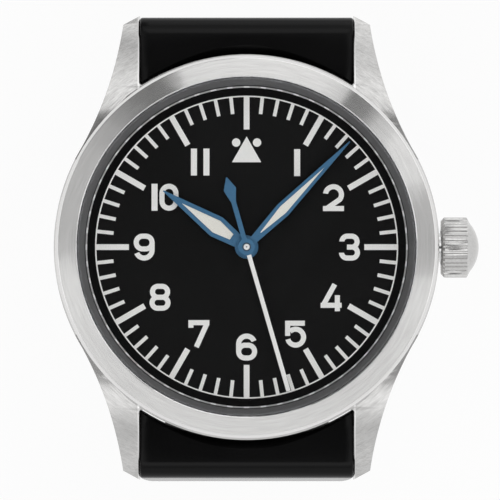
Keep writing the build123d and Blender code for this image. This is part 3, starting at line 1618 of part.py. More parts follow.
# Each half ends in a block that fills the room between the lugs. It is turned about the spring bar, so
# it clears the round case at every angle.
strap_wall_radius = case_radius + strap_case_gap
wall_corner_y = sqrt(strap_wall_radius**2 - strap_half_width**2)
with BuildPart() as strap_end:
    with BuildSketch(Plane.XY.offset(bar_z)):
        with BuildLine():
            ThreePointArc(
                (-strap_half_width, wall_corner_y), (0, strap_wall_radius), (strap_half_width, wall_corner_y)
            )
            Polyline(
                (strap_half_width, wall_corner_y),
                (strap_half_width, bar_y),
                (-strap_half_width, bar_y),
                (-strap_half_width, wall_corner_y),
            )
        make_face()
        fillet(vertices().group_by(Axis.Y)[0], radius=strap_corner_fillet)
    revolve(axis=Axis((0, bar_y, bar_z), (1, 0, 0)))
    with BuildSketch(Plane.XY.offset(strap_low_z)):
        with Locations((0, bar_y / 2)):
            Rectangle(lug_gap, bar_y)
    extrude(amount=strap_top_z - strap_low_z, mode=Mode.INTERSECT)
    add_rod(-strap_half_width, 2 * strap_half_width, strap_end_radius, bar_y, bar_z)


def taper_strap():
    """Narrows the band evenly from the lugs to the buckle."""
    lowest_z = loop_z - 2 * loop_radius
    half_narrow = strap_buckle_width / 2
    with BuildSketch(Plane.XZ) as profile:
        with BuildLine():
            Polyline(
                (-strap_half_width, case_top_z),
                (strap_half_width, case_top_z),
                (strap_half_width, strap_low_z),
                (half_narrow, strap_taper_end_z),
                (half_narrow, lowest_z),
                (-half_narrow, lowest_z),
                (-half_narrow, strap_taper_end_z),
                (-strap_half_width, strap_low_z),
                close=True,
            )
        make_face()
    extrude(profile.sketch, amount=2 * outer_radius, both=True, mode=Mode.INTERSECT)


def bore_strap(side):
    """The hole for the spring bar."""
    bore = spring_bar_radius + fit_gap
    add_rod(-half_gap, lug_gap, bore, side * bar_y, bar_z, Mode.SUBTRACT)


buckle_bar_orbit = loop_radius + strap_thickness / 2
buckle_bar_point = loop_point(buckle_bar_orbit, buckle_bar_angle)
notch_half_width = tongue_width / 2 + tongue_gap
tongue_ring_radius = buckle_bar_radius + fit_gap + tongue_ring_wall
with BuildPart() as strap_short:
    with BuildSketch(Plane.YZ):
        draw_band(
            [
                (-side_shift, loop_z, side_radius, 0, side_sweep),
            ]
        )
        draw_band([(0, loop_z, loop_radius, 0, -(90 - buckle_bar_angle))])
        with Locations(buckle_bar_point):
            Circle(strap_thickness / 2)
    extrude(amount=strap_half_width, both=True)
    add(strap_end.part)
    taper_strap()
    bore_strap(1)
    add_rod(-half_gap, lug_gap, buckle_bar_radius + fit_gap, *buckle_bar_point, Mode.SUBTRACT)
    slot_end_angle = buckle_bar_angle + degrees(tongue_slot_length / buckle_bar_orbit)
    add_side_bar(
        buckle_bar_point,
        loop_point(buckle_bar_orbit, slot_end_angle),
        2 * (tongue_ring_radius + tongue_gap),
        -notch_half_width,
        2 * notch_half_width,
        Mode.SUBTRACT,
    )
keep(strap_short, "strap_short")

# The long half crosses from the inner layer to the outer one over the buckle's bar, and its free end
# lies along the outside of the short half.
tail_meet_radius = outer_radius + tail_gap
meet_y, meet_z = loop_point(tail_meet_radius, tail_meet_angle)
meet_drop = loop_z - meet_z
cross_shift = (meet_y**2 + meet_drop**2 - loop_radius**2) / (2 * (loop_radius + meet_y))
cross_radius = loop_radius + cross_shift
cross_end = degrees(atan2(-meet_drop, meet_y - cross_shift)) + 360
tail_y, tail_z = loop_point(tail_end_radius, tail_end_angle)
inward_y = (cross_shift - meet_y) / cross_radius
inward_z = (loop_z - meet_z) / cross_radius
tail_chord = hypot(tail_y - meet_y, tail_z - meet_z)
tail_depth = (tail_y - meet_y) * inward_y + (tail_z - meet_z) * inward_z
tail_radius = tail_chord**2 / (2 * tail_depth)
tail_centre = (meet_y + tail_radius * inward_y, meet_z + tail_radius * inward_z)
tail_end = degrees(atan2(tail_z - tail_centre[1], tail_y - tail_centre[0])) + 360
with BuildPart() as strap_long:
    with BuildSketch(Plane.YZ):
        draw_band([(side_shift, loop_z, side_radius, 180 - side_sweep, side_sweep)])
        draw_band([(cross_shift, loop_z, cross_radius, 180, cross_end - 180)])
        draw_band([(*tail_centre, tail_radius, cross_end, tail_end - cross_end)])
    extrude(amount=strap_half_width, both=True)
    mirror(strap_end.part, about=Plane.XZ)
    taper_strap()
    bore_strap(-1)
    for hole in range(-1, tail_hole_count - 1):
        angle = tongue_riser_angle + hole * tail_hole_pitch_angle
        hole_y, hole_z = loop_point(loop_radius, angle)
        outward = (0, sin(radians(angle)), -cos(radians(angle)))
        with BuildSketch(Plane(origin=(0, hole_y, hole_z), x_dir=(1, 0, 0), z_dir=outward)):
            Circle(tail_hole_radius)
        extrude(amount=3 * strap_thickness, mode=Mode.SUBTRACT)
keep(strap_long, "strap_long")

# The buckle is a frame of two arms and a crossbar that turns on a bar in the short half's end.
buckle_inner_half = strap_buckle_width / 2 + buckle_side_gap
buckle_outer_half = buckle_inner_half + buckle_arm_thickness
cross_outer_radius = cross_radius + strap_thickness
cross_sine = sin(radians(crossbar_angle))
strap_radius_there = cross_shift * cross_sine + sqrt(
    cross_outer_radius**2 - cross_shift**2 * (1 - cross_sine**2)
)
crossbar_orbit = strap_radius_there + crossbar_gap + crossbar_radius
crossbar_point = loop_point(crossbar_orbit, crossbar_angle)

with BuildPart() as buckle_frame:
    for arm_x in (-buckle_outer_half, buckle_inner_half):
        add_side_bar(
            buckle_bar_point,
            crossbar_point,
            2 * buckle_arm_half_height,
            arm_x,
            buckle_arm_thickness,
        )
    add_rod(-buckle_inner_half, 2 * buckle_inner_half, crossbar_radius, *crossbar_point)
    bar_bore = buckle_bar_radius + fit_gap
    add_rod(-buckle_outer_half, 2 * buckle_outer_half, bar_bore, *buckle_bar_point, Mode.SUBTRACT)
keep(buckle_frame, "buckle_frame")

with BuildPart() as buckle_bar:
    add_rod(-buckle_outer_half, 2 * buckle_outer_half, buckle_bar_radius, *buckle_bar_point)
keep(buckle_bar, "buckle_bar")

# The tongue rises from a ring on the bar through a hole of the long half and rests on the crossbar.
tongue_orbit = crossbar_orbit + crossbar_radius + fit_gap + tongue_thickness / 2
with BuildPart() as buckle_tongue:
    with BuildSketch(Plane.YZ):
        with Locations(buckle_bar_point):
            Circle(tongue_ring_radius)
    extrude(amount=tongue_width / 2, both=True)
    knee_point = loop_point(tongue_orbit, tongue_riser_angle)
    tip_angle = crossbar_angle - degrees(tongue_tip_overhang / crossbar_orbit)
    tip_point = loop_point(tongue_orbit + tongue_tip_lift, tip_angle)
    add_side_bar(
        loop_point(buckle_bar_orbit, tongue_riser_angle),
        knee_point,
        tongue_thickness,
        -tongue_width / 2,
        tongue_width,
    )
    add_side_bar(knee_point, tip_point, tongue_thickness, -tongue_width / 2, tongue_width)
    add_rod(-tongue_width / 2, tongue_width, buckle_bar_radius + fit_gap, *buckle_bar_point, Mode.SUBTRACT)
keep(buckle_tongue, "buckle_tongue")


def tail_reach(angle):
    """How far the tail's outer face lies from the loop's centre in a direction."""
    sine, cosine = sin(radians(angle)), cos(radians(angle))
    centre_y, centre_z = tail_centre[0], tail_centre[1] - loop_z
    forward = centre_y * sine - centre_z * cosine
    aside = centre_y * cosine + centre_z * sine
    return forward + sqrt((tail_radius + strap_thickness) ** 2 - aside**2)


def add_keeper(angle):
    """A flat loop round both layers of the strap, bent with them."""
    inner_half = strap_buckle_width / 2 + keeper_side_room
    low_radius = loop_radius - keeper_inside_gap
    ends = (angle - keeper_half_width_angle, angle + keeper_half_width_angle)
    high_radius = max(tail_reach(end) for end in ends) + keeper_inside_gap
    start = radians(ends[0])
    section = Plane(
        origin=(0, 0, loop_z), x_dir=(1, 0, 0), z_dir=(0, -cos(start), -sin(start))
    )
    with BuildSketch(section) as profile:
        with Locations((0, -(low_radius + high_radius) / 2)):
            Rectangle(2 * (inner_half + keeper_wall), high_radius - low_radius + 2 * keeper_wall)
            Rectangle(2 * inner_half, high_radius - low_radius, mode=Mode.SUBTRACT)
    loop_axis = Axis((0, 0, loop_z), (1, 0, 0))
    revolve(profile.sketch, axis=loop_axis, revolution_arc=2 * keeper_half_width_angle)


with BuildPart() as keeper_fixed:
    add_keeper(keeper_fixed_angle)
keep(keeper_fixed, "keeper_fixed")

with BuildPart() as keeper_loose:
    add_keeper(keeper_loose_angle)
keep(keeper_loose, "keeper_loose")
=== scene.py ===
import json
from math import asin, atan2, cos, degrees, hypot, pi, radians, sin, sqrt
import bpy
from mathutils import Matrix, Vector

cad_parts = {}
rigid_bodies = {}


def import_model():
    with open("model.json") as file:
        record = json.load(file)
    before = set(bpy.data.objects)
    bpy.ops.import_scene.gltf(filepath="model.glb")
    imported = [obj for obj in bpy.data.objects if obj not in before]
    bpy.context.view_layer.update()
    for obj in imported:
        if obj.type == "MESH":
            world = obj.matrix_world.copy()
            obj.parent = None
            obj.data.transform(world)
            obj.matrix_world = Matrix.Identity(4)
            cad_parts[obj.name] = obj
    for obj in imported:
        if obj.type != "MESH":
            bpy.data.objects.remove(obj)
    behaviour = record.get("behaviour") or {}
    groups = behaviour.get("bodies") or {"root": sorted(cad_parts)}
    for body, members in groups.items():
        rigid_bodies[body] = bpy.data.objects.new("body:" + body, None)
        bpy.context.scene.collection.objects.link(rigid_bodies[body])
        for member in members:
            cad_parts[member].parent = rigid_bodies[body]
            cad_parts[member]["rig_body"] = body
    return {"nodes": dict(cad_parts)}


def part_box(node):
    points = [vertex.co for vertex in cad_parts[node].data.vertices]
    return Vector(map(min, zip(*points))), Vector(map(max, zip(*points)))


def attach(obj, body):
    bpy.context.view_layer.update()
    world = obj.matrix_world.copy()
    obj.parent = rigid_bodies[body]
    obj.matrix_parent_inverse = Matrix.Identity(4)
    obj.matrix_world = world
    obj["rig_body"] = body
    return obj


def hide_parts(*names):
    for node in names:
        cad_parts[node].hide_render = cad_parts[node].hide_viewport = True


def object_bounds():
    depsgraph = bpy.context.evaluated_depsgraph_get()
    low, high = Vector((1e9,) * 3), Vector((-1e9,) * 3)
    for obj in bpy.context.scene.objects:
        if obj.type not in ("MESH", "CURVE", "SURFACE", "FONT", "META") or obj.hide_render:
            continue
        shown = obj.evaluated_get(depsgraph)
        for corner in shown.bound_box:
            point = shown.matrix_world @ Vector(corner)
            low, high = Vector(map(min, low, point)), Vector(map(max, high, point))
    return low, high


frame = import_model()
construction_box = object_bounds()
mm = 0.001

# The camera looks straight down on the dial through a long lens, as the photograph's does, and leans
# one degree from the side of 6. The picture is 51.1 mm wide at the height of the glass.
lens_length = 427.7
picture_width = 51.09 * mm
glass_height = 8.0 * mm
picture_middle_x = 0.347 * mm
picture_middle_y = -0.327 * mm
camera_lean = radians(1.0)
nearest_seen = 10 * mm
farthest_seen = 100.0
bpy.ops.object.camera_add()
camera = bpy.context.object
camera.name = "camera"
camera.data.lens = lens_length
camera_distance = picture_width * lens_length / camera.data.sensor_width
camera.rotation_euler = (camera_lean, 0, 0)
camera.location = (
    picture_middle_x,
    picture_middle_y - camera_distance * sin(camera_lean),
    glass_height + camera_distance * cos(camera_lean),
)
camera.data.clip_start = nearest_seen
camera.data.clip_end = farthest_seen
bpy.context.scene.camera = camera
bpy.context.scene.view_settings.view_transform = "Standard"


# The studio is a white tent with a small dark gap overhead, where the lens looks in, so that glass,
# dial and rubber stay black. Grey cloths inside it give the brushed steel its darker sectors. Their
# directions are degrees from 12, clockwise, and their heights are degrees from overhead.
class Level:
    """A number that varies from place to place, so that shader maths reads as arithmetic."""

    def __init__(self, nodes, socket):
        self.nodes = nodes
        self.socket = socket

    def work(self, operation, *others, swapped=False):
        node = self.nodes.new("ShaderNodeMath")
        node.operation = operation
        values = [*others, self] if swapped else [self, *others]
        for place, value in enumerate(values):
            put(node.inputs[place], value)
        return Level(self.nodes, node.outputs[0])

    def __add__(self, other):
        return self.work("ADD", other)

    def __sub__(self, other):
        return self.work("SUBTRACT", other)

    def __rsub__(self, other):
        return self.work("SUBTRACT", other, swapped=True)

    def __mul__(self, other):
        return self.work("MULTIPLY", other)

    def __truediv__(self, other):
        return self.work("DIVIDE", other)

    __radd__ = __add__
    __rmul__ = __mul__

    def step(self, start, end):
        """Rises smoothly from 0 at one value to 1 at another."""
        node = self.nodes.new("ShaderNodeMapRange")
        node.interpolation_type = "SMOOTHSTEP"
        put(node.inputs["Value"], self)
        put(node.inputs["From Min"], start)
        put(node.inputs["From Max"], end)
        return Level(self.nodes, node.outputs[0])

    def band(self, low, high, soft):
        """One between two values, and falls to zero outside them."""
        return self.step(low - soft, low) * (1 - self.step(high, high + soft))

    def between(self, first, second):
        """Goes from one value where this level is 0 to another where it is 1."""
        return self * (second - first) + first


def put(socket, value):
    """Gives a socket a link, a colour or another plain value."""
    if isinstance(value, Level):
        socket.id_data.links.new(value.socket, socket)
    elif isinstance(value, bpy.types.NodeSocket):
        socket.id_data.links.new(value, socket)
    elif socket.type == "RGBA":
        socket.default_value = (*value, 1)
    else:
        socket.default_value = value


class Recipe:
    """A node tree under construction."""

    def __init__(self, tree):
        self.nodes = tree.nodes

    def node(self, kind, settings=None, **sockets):
        """A node of a kind, with its settings first, then its sockets by name or by number."""
        node = self.nodes.new(kind)
        for name, value in (settings or {}).items():
            setattr(node, name, value)
        for name, value in sockets.items():
            key = int(name[1:]) if name[1:].isdigit() else name.replace("_", " ")
            put(node.inputs[key], value)
        return node

    def level(self, socket):
        return Level(self.nodes, socket)


overhead_gap = (8.0, 12.0)
gap_brightness = 0.03
cloths = (
    dict(start=32.0, end=33.5, soft_start=1.0, soft_end=19.0, shade=0.97, reach=58.0),
    dict(start=71.0, end=95.0, soft_start=5.0, soft_end=2.0, shade=0.42, reach=58.0),
    dict(start=-91.0, end=-22.5, soft_start=1.0, soft_end=1.0, shade=0.38, reach=72.0),
    dict(start=-24.0, end=-22.5, soft_start=36.0, soft_end=1.0, shade=0.80, reach=72.0),
)
cloth_fade = 18.0
south_edge = (100.0, 130.0)
south_cloths = (dict(low=31.0, high=43.0, soft=7.0), dict(low=70.0, high=100.0, soft=10.0))
south_shade = 0.40
low_cloth_directions = dict(low=-60.0, high=-5.0, soft=4.0)
low_cloth_heights = dict(low=60.0, high=88.0, soft=6.0)
low_cloth_shade = 0.75
skirt_heights = dict(low=42.0, high=60.0, soft=10.0)
skirt_shade = 0.35
tent_level = 1.5
pure_white = (1, 1, 1)

world = bpy.data.worlds.new("studio")
bpy.context.scene.world = world
world.use_nodes = True
tent = Recipe(world.node_tree)
tent.nodes.clear()
compass = tent.node("ShaderNodeTexCoord")
split = tent.node("ShaderNodeSeparateXYZ", Vector=compass.outputs["Generated"])
east, north, up = (tent.level(split.outputs[axis]) for axis in ("X", "Y", "Z"))
height = up.work("ARCCOSINE") * (180 / pi)
direction = east.work("ARCTAN2", north) * (180 / pi)


def hang(start, end, soft_start, soft_end, shade, reach):
    """The shade of a cloth between two directions, from overhead down to its reach."""
    side = direction.step(start - soft_start, start) * (1 - direction.step(end, end + soft_end))
    return side * (1 - height.step(reach, reach + cloth_fade)) * shade


brightness = height.step(*overhead_gap).between(gap_brightness, 1)
for cloth in cloths:
    brightness = brightness * (1 - hang(**cloth))
south = direction.work("ABSOLUTE").step(*south_edge)
for heights in south_cloths:
    brightness = brightness * (1 - height.band(**heights) * south * south_shade)
low_cloth = direction.band(**low_cloth_directions) * height.band(**low_cloth_heights)
brightness = brightness * (1 - low_cloth * low_cloth_shade)
brightness = brightness * (1 - height.band(**skirt_heights) * skirt_shade) * tent_level
tent_rays = tent.node("ShaderNodeLightPath")
seen = tent.level(tent_rays.outputs["Is Camera Ray"])
light = tent.node("ShaderNodeBackground", Color=pure_white, Strength=seen + (1 - seen) * brightness)
tent.node("ShaderNodeOutputWorld", Surface=light.outputs[0])

floor_size = 6.0
floor_colour = (0.90, 0.90, 0.90)
floor_glow = 0.92
bpy.ops.mesh.primitive_plane_add(size=floor_size, location=(0, 0, construction_box[0][2]))
floor = bpy.context.object
floor.name = "floor"
floor_paint = bpy.data.materials.new("floor_paper")
floor_paint.use_nodes = True
paper = Recipe(floor_paint.node_tree)
paper.nodes.clear()
paper_rays = paper.node("ShaderNodeLightPath")
direct = paper.level(paper_rays.outputs["Is Camera Ray"])
for kind in ("Is Glossy Ray", "Is Transmission Ray"):
    direct = direct + paper.level(paper_rays.outputs[kind])
matt = paper.node("ShaderNodeBsdfDiffuse", Color=floor_colour)
glow = paper.node("ShaderNodeEmission", Color=pure_white, Strength=1.0)
blend = paper.node(
    "ShaderNodeMixShader",
    s0=direct.step(0.0, 1.0) * floor_glow,
    s1=matt.outputs[0],
    s2=glow.outputs[0],
)
paper.node("ShaderNodeOutputMaterial", Surface=blend.outputs[0])
floor.data.materials.append(floor_paint)


# The case band with its four lugs, the bezel on top of it and the case back under it are turned from
# stainless steel. They are brushed round their axis, and their narrow edges are polished.
class Finish(Recipe):
    """One material: a Principled shader and what varies over its surface."""

    def __init__(self, name, colour, metallic=0.0, roughness=0.5, **fixed):
        self.material = bpy.data.materials.new(name)
        self.material.use_nodes = True
        super().__init__(self.material.node_tree)
        self.shader = self.nodes["Principled BSDF"]
        self.feed(Base_Color=colour, Metallic=metallic, Roughness=roughness, **fixed)
        self.place = self.node("ShaderNodeTexCoord").outputs["Object"]
        axes = self.node("ShaderNodeSeparateXYZ", Vector=self.place)
        self.x, self.y, self.z = (self.level(axes.outputs[axis]) for axis in ("X", "Y", "Z"))

    def feed(self, **sockets):
        """Gives the shader's sockets their links or values."""
        for name, value in sockets.items():
            put(self.shader.inputs[name.replace("_", " ")], value)

    def noise(self, scale, place=None, detail=2.0):
        """Cloudy noise at so many cells to a metre, or to a unit of the place given."""
        made = self.node(
            "ShaderNodeTexNoise",
            Vector=place if place is not None else self.place,
            Scale=scale,
            Detail=detail,
            Roughness=0.5,
        )
        return self.level(made.outputs[0])

    def from_axis(self):
        """The distance from the watch's upright axis."""
        return (self.x * self.x + self.y * self.y).work("SQRT")

    def turn(self, radius):
        """The angle round the upright axis from the side of 3, alike up and down."""
        return (self.x / radius).work("ARCCOSINE")

    def point(self, x, y, z):
        """A place from three numbers."""
        return self.node("ShaderNodeCombineXYZ", X=x, Y=y, Z=z).outputs[0]

    def tint(self, share, first, second):
        """A colour between two, by a share."""
        made = self.node(
            "ShaderNodeMix", {"data_type": "RGBA"}, Factor=share, s6=first, s7=second
        )
        return made.outputs[2]

    def bump(self, height, depth):
        """Relief of a depth in metres."""
        made = self.node("ShaderNodeBump", Height=height, Distance=depth, Strength=1.0)
        self.feed(Normal=made.outputs[0])


brush_pitch = 8000.0
brush_run = 7.0
broad_pitch = 1600.0
broad_run = 3.5
brush_depth = 0.003 * mm
brush_contrast = 1.6
brush_unevenness = 0.12
hollow_share = 0.30
steel_crest = (0.63, 0.626, 0.62)
steel_hollow = (0.47, 0.466, 0.46)
case_crest = (0.60, 0.596, 0.59)
case_hollow = (0.42, 0.416, 0.41)
polished_colour = (0.74, 0.735, 0.73)
brushed_roughness = 0.20
polished_roughness = 0.08


def brushed_steel(name, polish, crest=steel_crest, hollow=steel_hollow, streaks=1.0):
    """Steel brushed round the upright axis. polish gives the share of the surface that is polished."""
    steel = Finish(name, crest, metallic=1.0, Anisotropic=0.98, Anisotropic_Rotation=0.25)
    radius = steel.from_axis()
    turn = steel.turn(radius)
    fine_place = steel.point(radius * brush_pitch, steel.z * brush_pitch, turn * brush_run)
    broad_place = steel.point(radius * broad_pitch, steel.z * broad_pitch, turn * broad_run)
    broad = steel.noise(scale=1.0, place=broad_place)
    bright = polish(steel, radius)
    grain = (steel.noise(scale=1.0, place=fine_place, detail=3.0) - 0.5) * (1 - bright) * streaks
    shade = (grain * brush_contrast + (broad - 0.5) * streaks + hollow_share) * (1 - bright)
    roughness = bright.between(brushed_roughness, polished_roughness)
    steel.feed(
        Base_Color=steel.tint(bright, steel.tint(shade, crest, hollow), polished_colour),
        Roughness=roughness + grain * brush_unevenness,
    )
    steel.bump(grain, brush_depth)
    return steel


def select_only(piece):
    """Selects one object alone and makes it active."""
    bpy.ops.object.select_all(action="DESELECT")
    piece.select_set(True)
    bpy.context.view_layer.objects.active = piece


def settle(piece, kind, **settings):
    """Adds a modifier and applies it."""
    select_only(piece)
    made = piece.modifiers.new(kind.lower(), kind)
    for name, value in settings.items():
        setattr(made, name, value)
    bpy.ops.object.modifier_apply(modifier=made.name)


merge_distance = 0.0005 * mm
flat_angle = radians(0.4)
edge_angle = radians(35)


def smooth(piece):
    """Smooth shading that leaves true edges sharp."""
    select_only(piece)
    bpy.ops.object.shade_smooth_by_angle(angle=edge_angle)


def soften(piece, edge, segments):
    """Breaks a piece's sharp edges and shades it so that wide faces stay flat."""
    if edge:
        limit = {"limit_method": "ANGLE", "angle_limit": edge_angle}
        settle(piece, "BEVEL", width=edge, segments=segments, **limit)
    smooth(piece)
    settle(piece, "WEIGHTED_NORMAL", keep_sharp=True)


def enter(piece, node, finish):
    """Makes a finished piece stand for a construction node."""
    piece.data.materials.clear()
    piece.data.materials.append(finish.material)
    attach(piece, frame["nodes"][node]["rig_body"])
    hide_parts(node)


def recast(node, finish, edge=0.0, segments=2):
    """A closed, smooth-shaded copy of a construction piece with its sharp edges broken."""
    piece = bpy.data.objects.new(node + "_finished", frame["nodes"][node].data.copy())
    bpy.context.scene.collection.objects.link(piece)
    select_only(piece)
    bpy.ops.object.mode_set(mode="EDIT")
    bpy.ops.mesh.select_all(action="SELECT")
    bpy.ops.mesh.remove_doubles(threshold=merge_distance)
    bpy.ops.mesh.dissolve_limited(angle_limit=flat_angle)
    bpy.ops.object.mode_set(mode="OBJECT")
    soften(piece, edge, segments)
    enter(piece, node, finish)


def dress(finish, *nodes):
    """Gives construction pieces their finish."""
    for node in nodes:
        for held in frame["nodes"][node].material_slots:
            held.material = finish.material


lug_inner_x = 11.0 * mm
lug_edge_width = 0.16 * mm
bezel_face = (17.46 * mm, 19.22 * mm)
back_face_radius = 17.78 * mm
edge_softness = 0.02 * mm


def polish_case(steel, radius):
    """The lugs' inner edges."""
    side = steel.x.work("ABSOLUTE")
    return side.band(lug_inner_x - edge_softness, lug_inner_x + lug_edge_width, edge_softness)


def polish_bezel(steel, radius):
    """Both rims beside the brushed face."""
    return 1 - radius.band(*bezel_face, edge_softness)


def polish_back(steel, radius):
    """The case back's bevel."""
    return radius.step(back_face_radius, back_face_radius + edge_softness)


case_steel = brushed_steel("case_steel", polish_case, case_crest, case_hollow)
bezel_steel = brushed_steel("bezel_steel", polish_bezel, streaks=0.4)
back_steel = brushed_steel("back_steel", polish_back)
recast("case_middle", case_steel, edge=0.05 * mm)
recast("bezel", bezel_steel, edge=0.04 * mm)
recast("case_back", back_steel, edge=0.05 * mm)

# The crown is a steel drum on the end of the stem, turned with a domed end and fluted for the fingers.
# Its satin polish keeps a fine, cloudy grain.
crown_hollow = (0.49, 0.486, 0.48)
satin_depth = 0.0006 * mm
satin_steel = Finish("crown_steel", steel_crest, metallic=1.0, roughness=0.2)
satin_grain = satin_steel.noise(scale=4200.0, detail=3.0)
satin_steel.feed(
    Base_Color=satin_steel.tint(satin_grain, steel_crest, crown_hollow),
    Roughness=satin_grain.between(0.12, 0.26),
)
satin_steel.bump(satin_grain, satin_depth)
recast("crown", satin_steel, edge=0.04 * mm)

# Each spring bar between the lugs is a polished steel tube with a sprung tip at each end. The crown's
# tube, the stem with all that winds and sets, the cannon pinion, the escapement and the mainspring
# have the same finish.
bright_steel = Finish("bright_steel", (0.70, 0.70, 0.70), metallic=1.0, roughness=0.1)
bright_steel.feed(Roughness=bright_steel.noise(scale=6000.0).between(0.08, 0.16))
recast("spring_bar_12", bright_steel)
recast("spring_bar_6", bright_steel)
dress(
    bright_steel,
    "crown_tube",
    "cannon_pinion",
    "escape_wheel",
    "mainspring",
    "pallet_fork",
    "ratchet_wheel",
    "crown_wheel",
    "click",
    "winding_pinion",
    "stem",
    "sliding_pinion",
    "setting_lever",
    "yoke",
)

# The seconds hand is riveted to a short steel pipe, whose satin end shows in the middle of the hub. A
# small dark dot is painted in its middle as the shade in a punch mark.
pipe_colour = (0.85, 0.85, 0.85)
punch_shade_colour = (0.22, 0.22, 0.23)
punch_shade_radius = 0.10 * mm
pipe_steel = Finish("pipe_steel", pipe_colour, metallic=1.0, roughness=0.55)
# Painted shade: a dark dot at the pipe's middle, where a punch mark's hollow would be.
painted_punch_shade = 1 - pipe_steel.from_axis().step(punch_shade_radius / 2, punch_shade_radius)
pipe_steel.feed(
    Base_Color=pipe_steel.tint(painted_punch_shade, pipe_colour, punch_shade_colour),
    Roughness=pipe_steel.noise(scale=6000.0).between(0.55, 0.45),
)
recast("seconds_pipe", pipe_steel, edge=0.02 * mm)

# The front glass is a clear disc, held in the bezel by its gasket. It mirrors only what strikes it at a
# low angle, so the dial shows through it from above.
glass_alpha = (0.02, 0.82)
glass_falloff = 4.0
glass = Finish("front_glass", (0.93, 0.95, 1.0), metallic=1.0, roughness=0.02)
glancing = glass.level(glass.node("ShaderNodeLayerWeight", Blend=0.5).outputs["Facing"])
glass.feed(Alpha=glancing.work("POWER", glass_falloff).between(*glass_alpha))
recast("crystal", glass, edge=0.04 * mm)

# The seals of the glass, the case back and the crown are rings of matt black rubber. A ring of plain
# grey plastic holds the movement in the case.
rubber_ring_depth = 0.002 * mm
plastic_depth = 0.004 * mm
seal_rubber = Finish("seal_rubber", (0.02, 0.02, 0.02), roughness=0.6)
seal_rubber.bump(seal_rubber.noise(scale=5000.0), rubber_ring_depth)
dress(seal_rubber, "crystal_gasket", "case_back_gasket", "crown_gasket")
ring_plastic = Finish("ring_plastic", (0.45, 0.45, 0.43), roughness=0.5)
ring_plastic.bump(ring_plastic.noise(scale=2500.0), plastic_depth)
dress(ring_plastic, "movement_ring")

# The inner flange between glass and dial is dark steel, finely turned. Its narrow foot is painted bright
# as a highlight, with sixty short white dashes painted on it as reflections of the minute strokes, and a
# fine black line runs above the foot.
minute_count = 60
painted_dash_edges = (0.25, 0.75)
flange_foot_end = 16.49 * mm
flange_line_end = 16.58 * mm
turning_pitch = 16000.0
turning_run = 30.0
turning_width = 3000.0
turning_depth = 0.002 * mm
flange_steel = Finish("flange_steel", (0.3, 0.3, 0.3))
flange_radius = flange_steel.from_axis()
flange_turn = flange_steel.turn(flange_radius)
turning_place = flange_steel.point(
    flange_steel.z * turning_pitch, flange_turn * turning_run, flange_radius * turning_width
)
turning = flange_steel.noise(scale=1.0, place=turning_place, detail=3.0)
foot = 1 - flange_radius.step(flange_foot_end, flange_foot_end + edge_softness)
line = flange_radius.band(flange_foot_end + edge_softness, flange_line_end, edge_softness)
# Painted reflection: sixty white dashes on the foot stand for the minute strokes mirrored in it.
painted_dash_reflection = (flange_turn * minute_count).work("COSINE").step(*painted_dash_edges)
wall_shade = flange_steel.tint(turning, (0.15, 0.15, 0.154), (0.31, 0.31, 0.315))
lined_wall = flange_steel.tint(line, wall_shade, (0.02, 0.02, 0.02))
# Painted highlight: the foot's colour is a bright grey band, turning white at the painted dashes.
painted_foot_highlight = flange_steel.tint(painted_dash_reflection.between(0.45, 1.0), (0.12, 0.12, 0.12), pure_white)
flange_steel.feed(
    Base_Color=flange_steel.tint(foot, lined_wall, painted_foot_highlight),
    Metallic=foot.between(0.35, 0.0),
    Roughness=0.45,
)
flange_steel.bump(turning * (1 - foot), turning_depth)
recast("rehaut_ring", flange_steel)

# The dial is a thin brass plate with a fine-grained matt black coat, whose colour is painted darker near
# its rim as the flange's shadow. The minute track, the figures and the triangle are printed in thick
# white paint.
painted_shadow_edge = (15.5 * mm, 15.6 * mm)
coat_depth = 0.002 * mm
print_depth = 0.004 * mm
dial_coat = Finish("dial_paint", (0.005, 0.005, 0.005), roughness=0.7, Specular_IOR_Level=0.08)
coat_grain = dial_coat.noise(scale=9000.0, detail=3.0)
# Painted shadow: the coat's colour darkens beyond this radius, where the flange shades the dial.
painted_flange_shadow = dial_coat.from_axis().step(*painted_shadow_edge)
coat_shade = coat_grain.between(0.3, 1.0) * painted_flange_shadow.between(1.0, 0.2)
dial_coat.feed(Base_Color=dial_coat.tint(coat_shade, (0.001, 0.001, 0.001), (0.008, 0.008, 0.008)))
dial_coat.bump(coat_grain, coat_depth)
dress(dial_coat, "dial")

white_paint = Finish("white_paint", (0.88, 0.88, 0.86), roughness=0.6)
print_grain = white_paint.noise(scale=5000.0, detail=3.0)
white_paint.feed(Base_Color=white_paint.tint(print_grain, (0.93, 0.93, 0.91), (0.85, 0.85, 0.83)))
white_paint.bump(print_grain, print_depth)
dress(white_paint, "minute_track", "hour_numerals", "triangle_marker")

# The hour and minute hands are cut from blued steel and pressed on their pipes. Pale luminous paint
# fills their middles. The hairspring and the bridges' screws are blued like the hands.
blue_hollow = (0.024, 0.118, 0.242)
blue_crest = (0.037, 0.168, 0.315)
blue_depth = 0.001 * mm
blued = Finish("blued_steel", blue_crest, roughness=0.38, Specular_IOR_Level=0.6)
blue_grain = blued.noise(scale=3800.0, detail=3.0)
blued.feed(
    Base_Color=blued.tint(blue_grain, blue_hollow, blue_crest),
    Roughness=blue_grain.between(0.30, 0.46),
    Metallic=0.15,
)
blued.bump(blue_grain, blue_depth)
recast("hour_hand", blued, edge=0.05 * mm)
recast("minute_hand", blued, edge=0.03 * mm)
dress(blued, "hairspring", "bridge_screws")

lume_depth = 0.012 * mm
lume = Finish("luminous_paint", (0.86, 0.85, 0.80), roughness=0.75)
lume_grain = lume.noise(scale=5200.0, detail=4.0)
lume.feed(Base_Color=lume.tint(lume_grain, (0.92, 0.91, 0.86), (0.80, 0.78, 0.70)))
lume.bump(lume_grain, lume_depth)
recast("hour_lume", lume, edge=0.05 * mm)
recast("minute_lume", lume, edge=0.03 * mm)

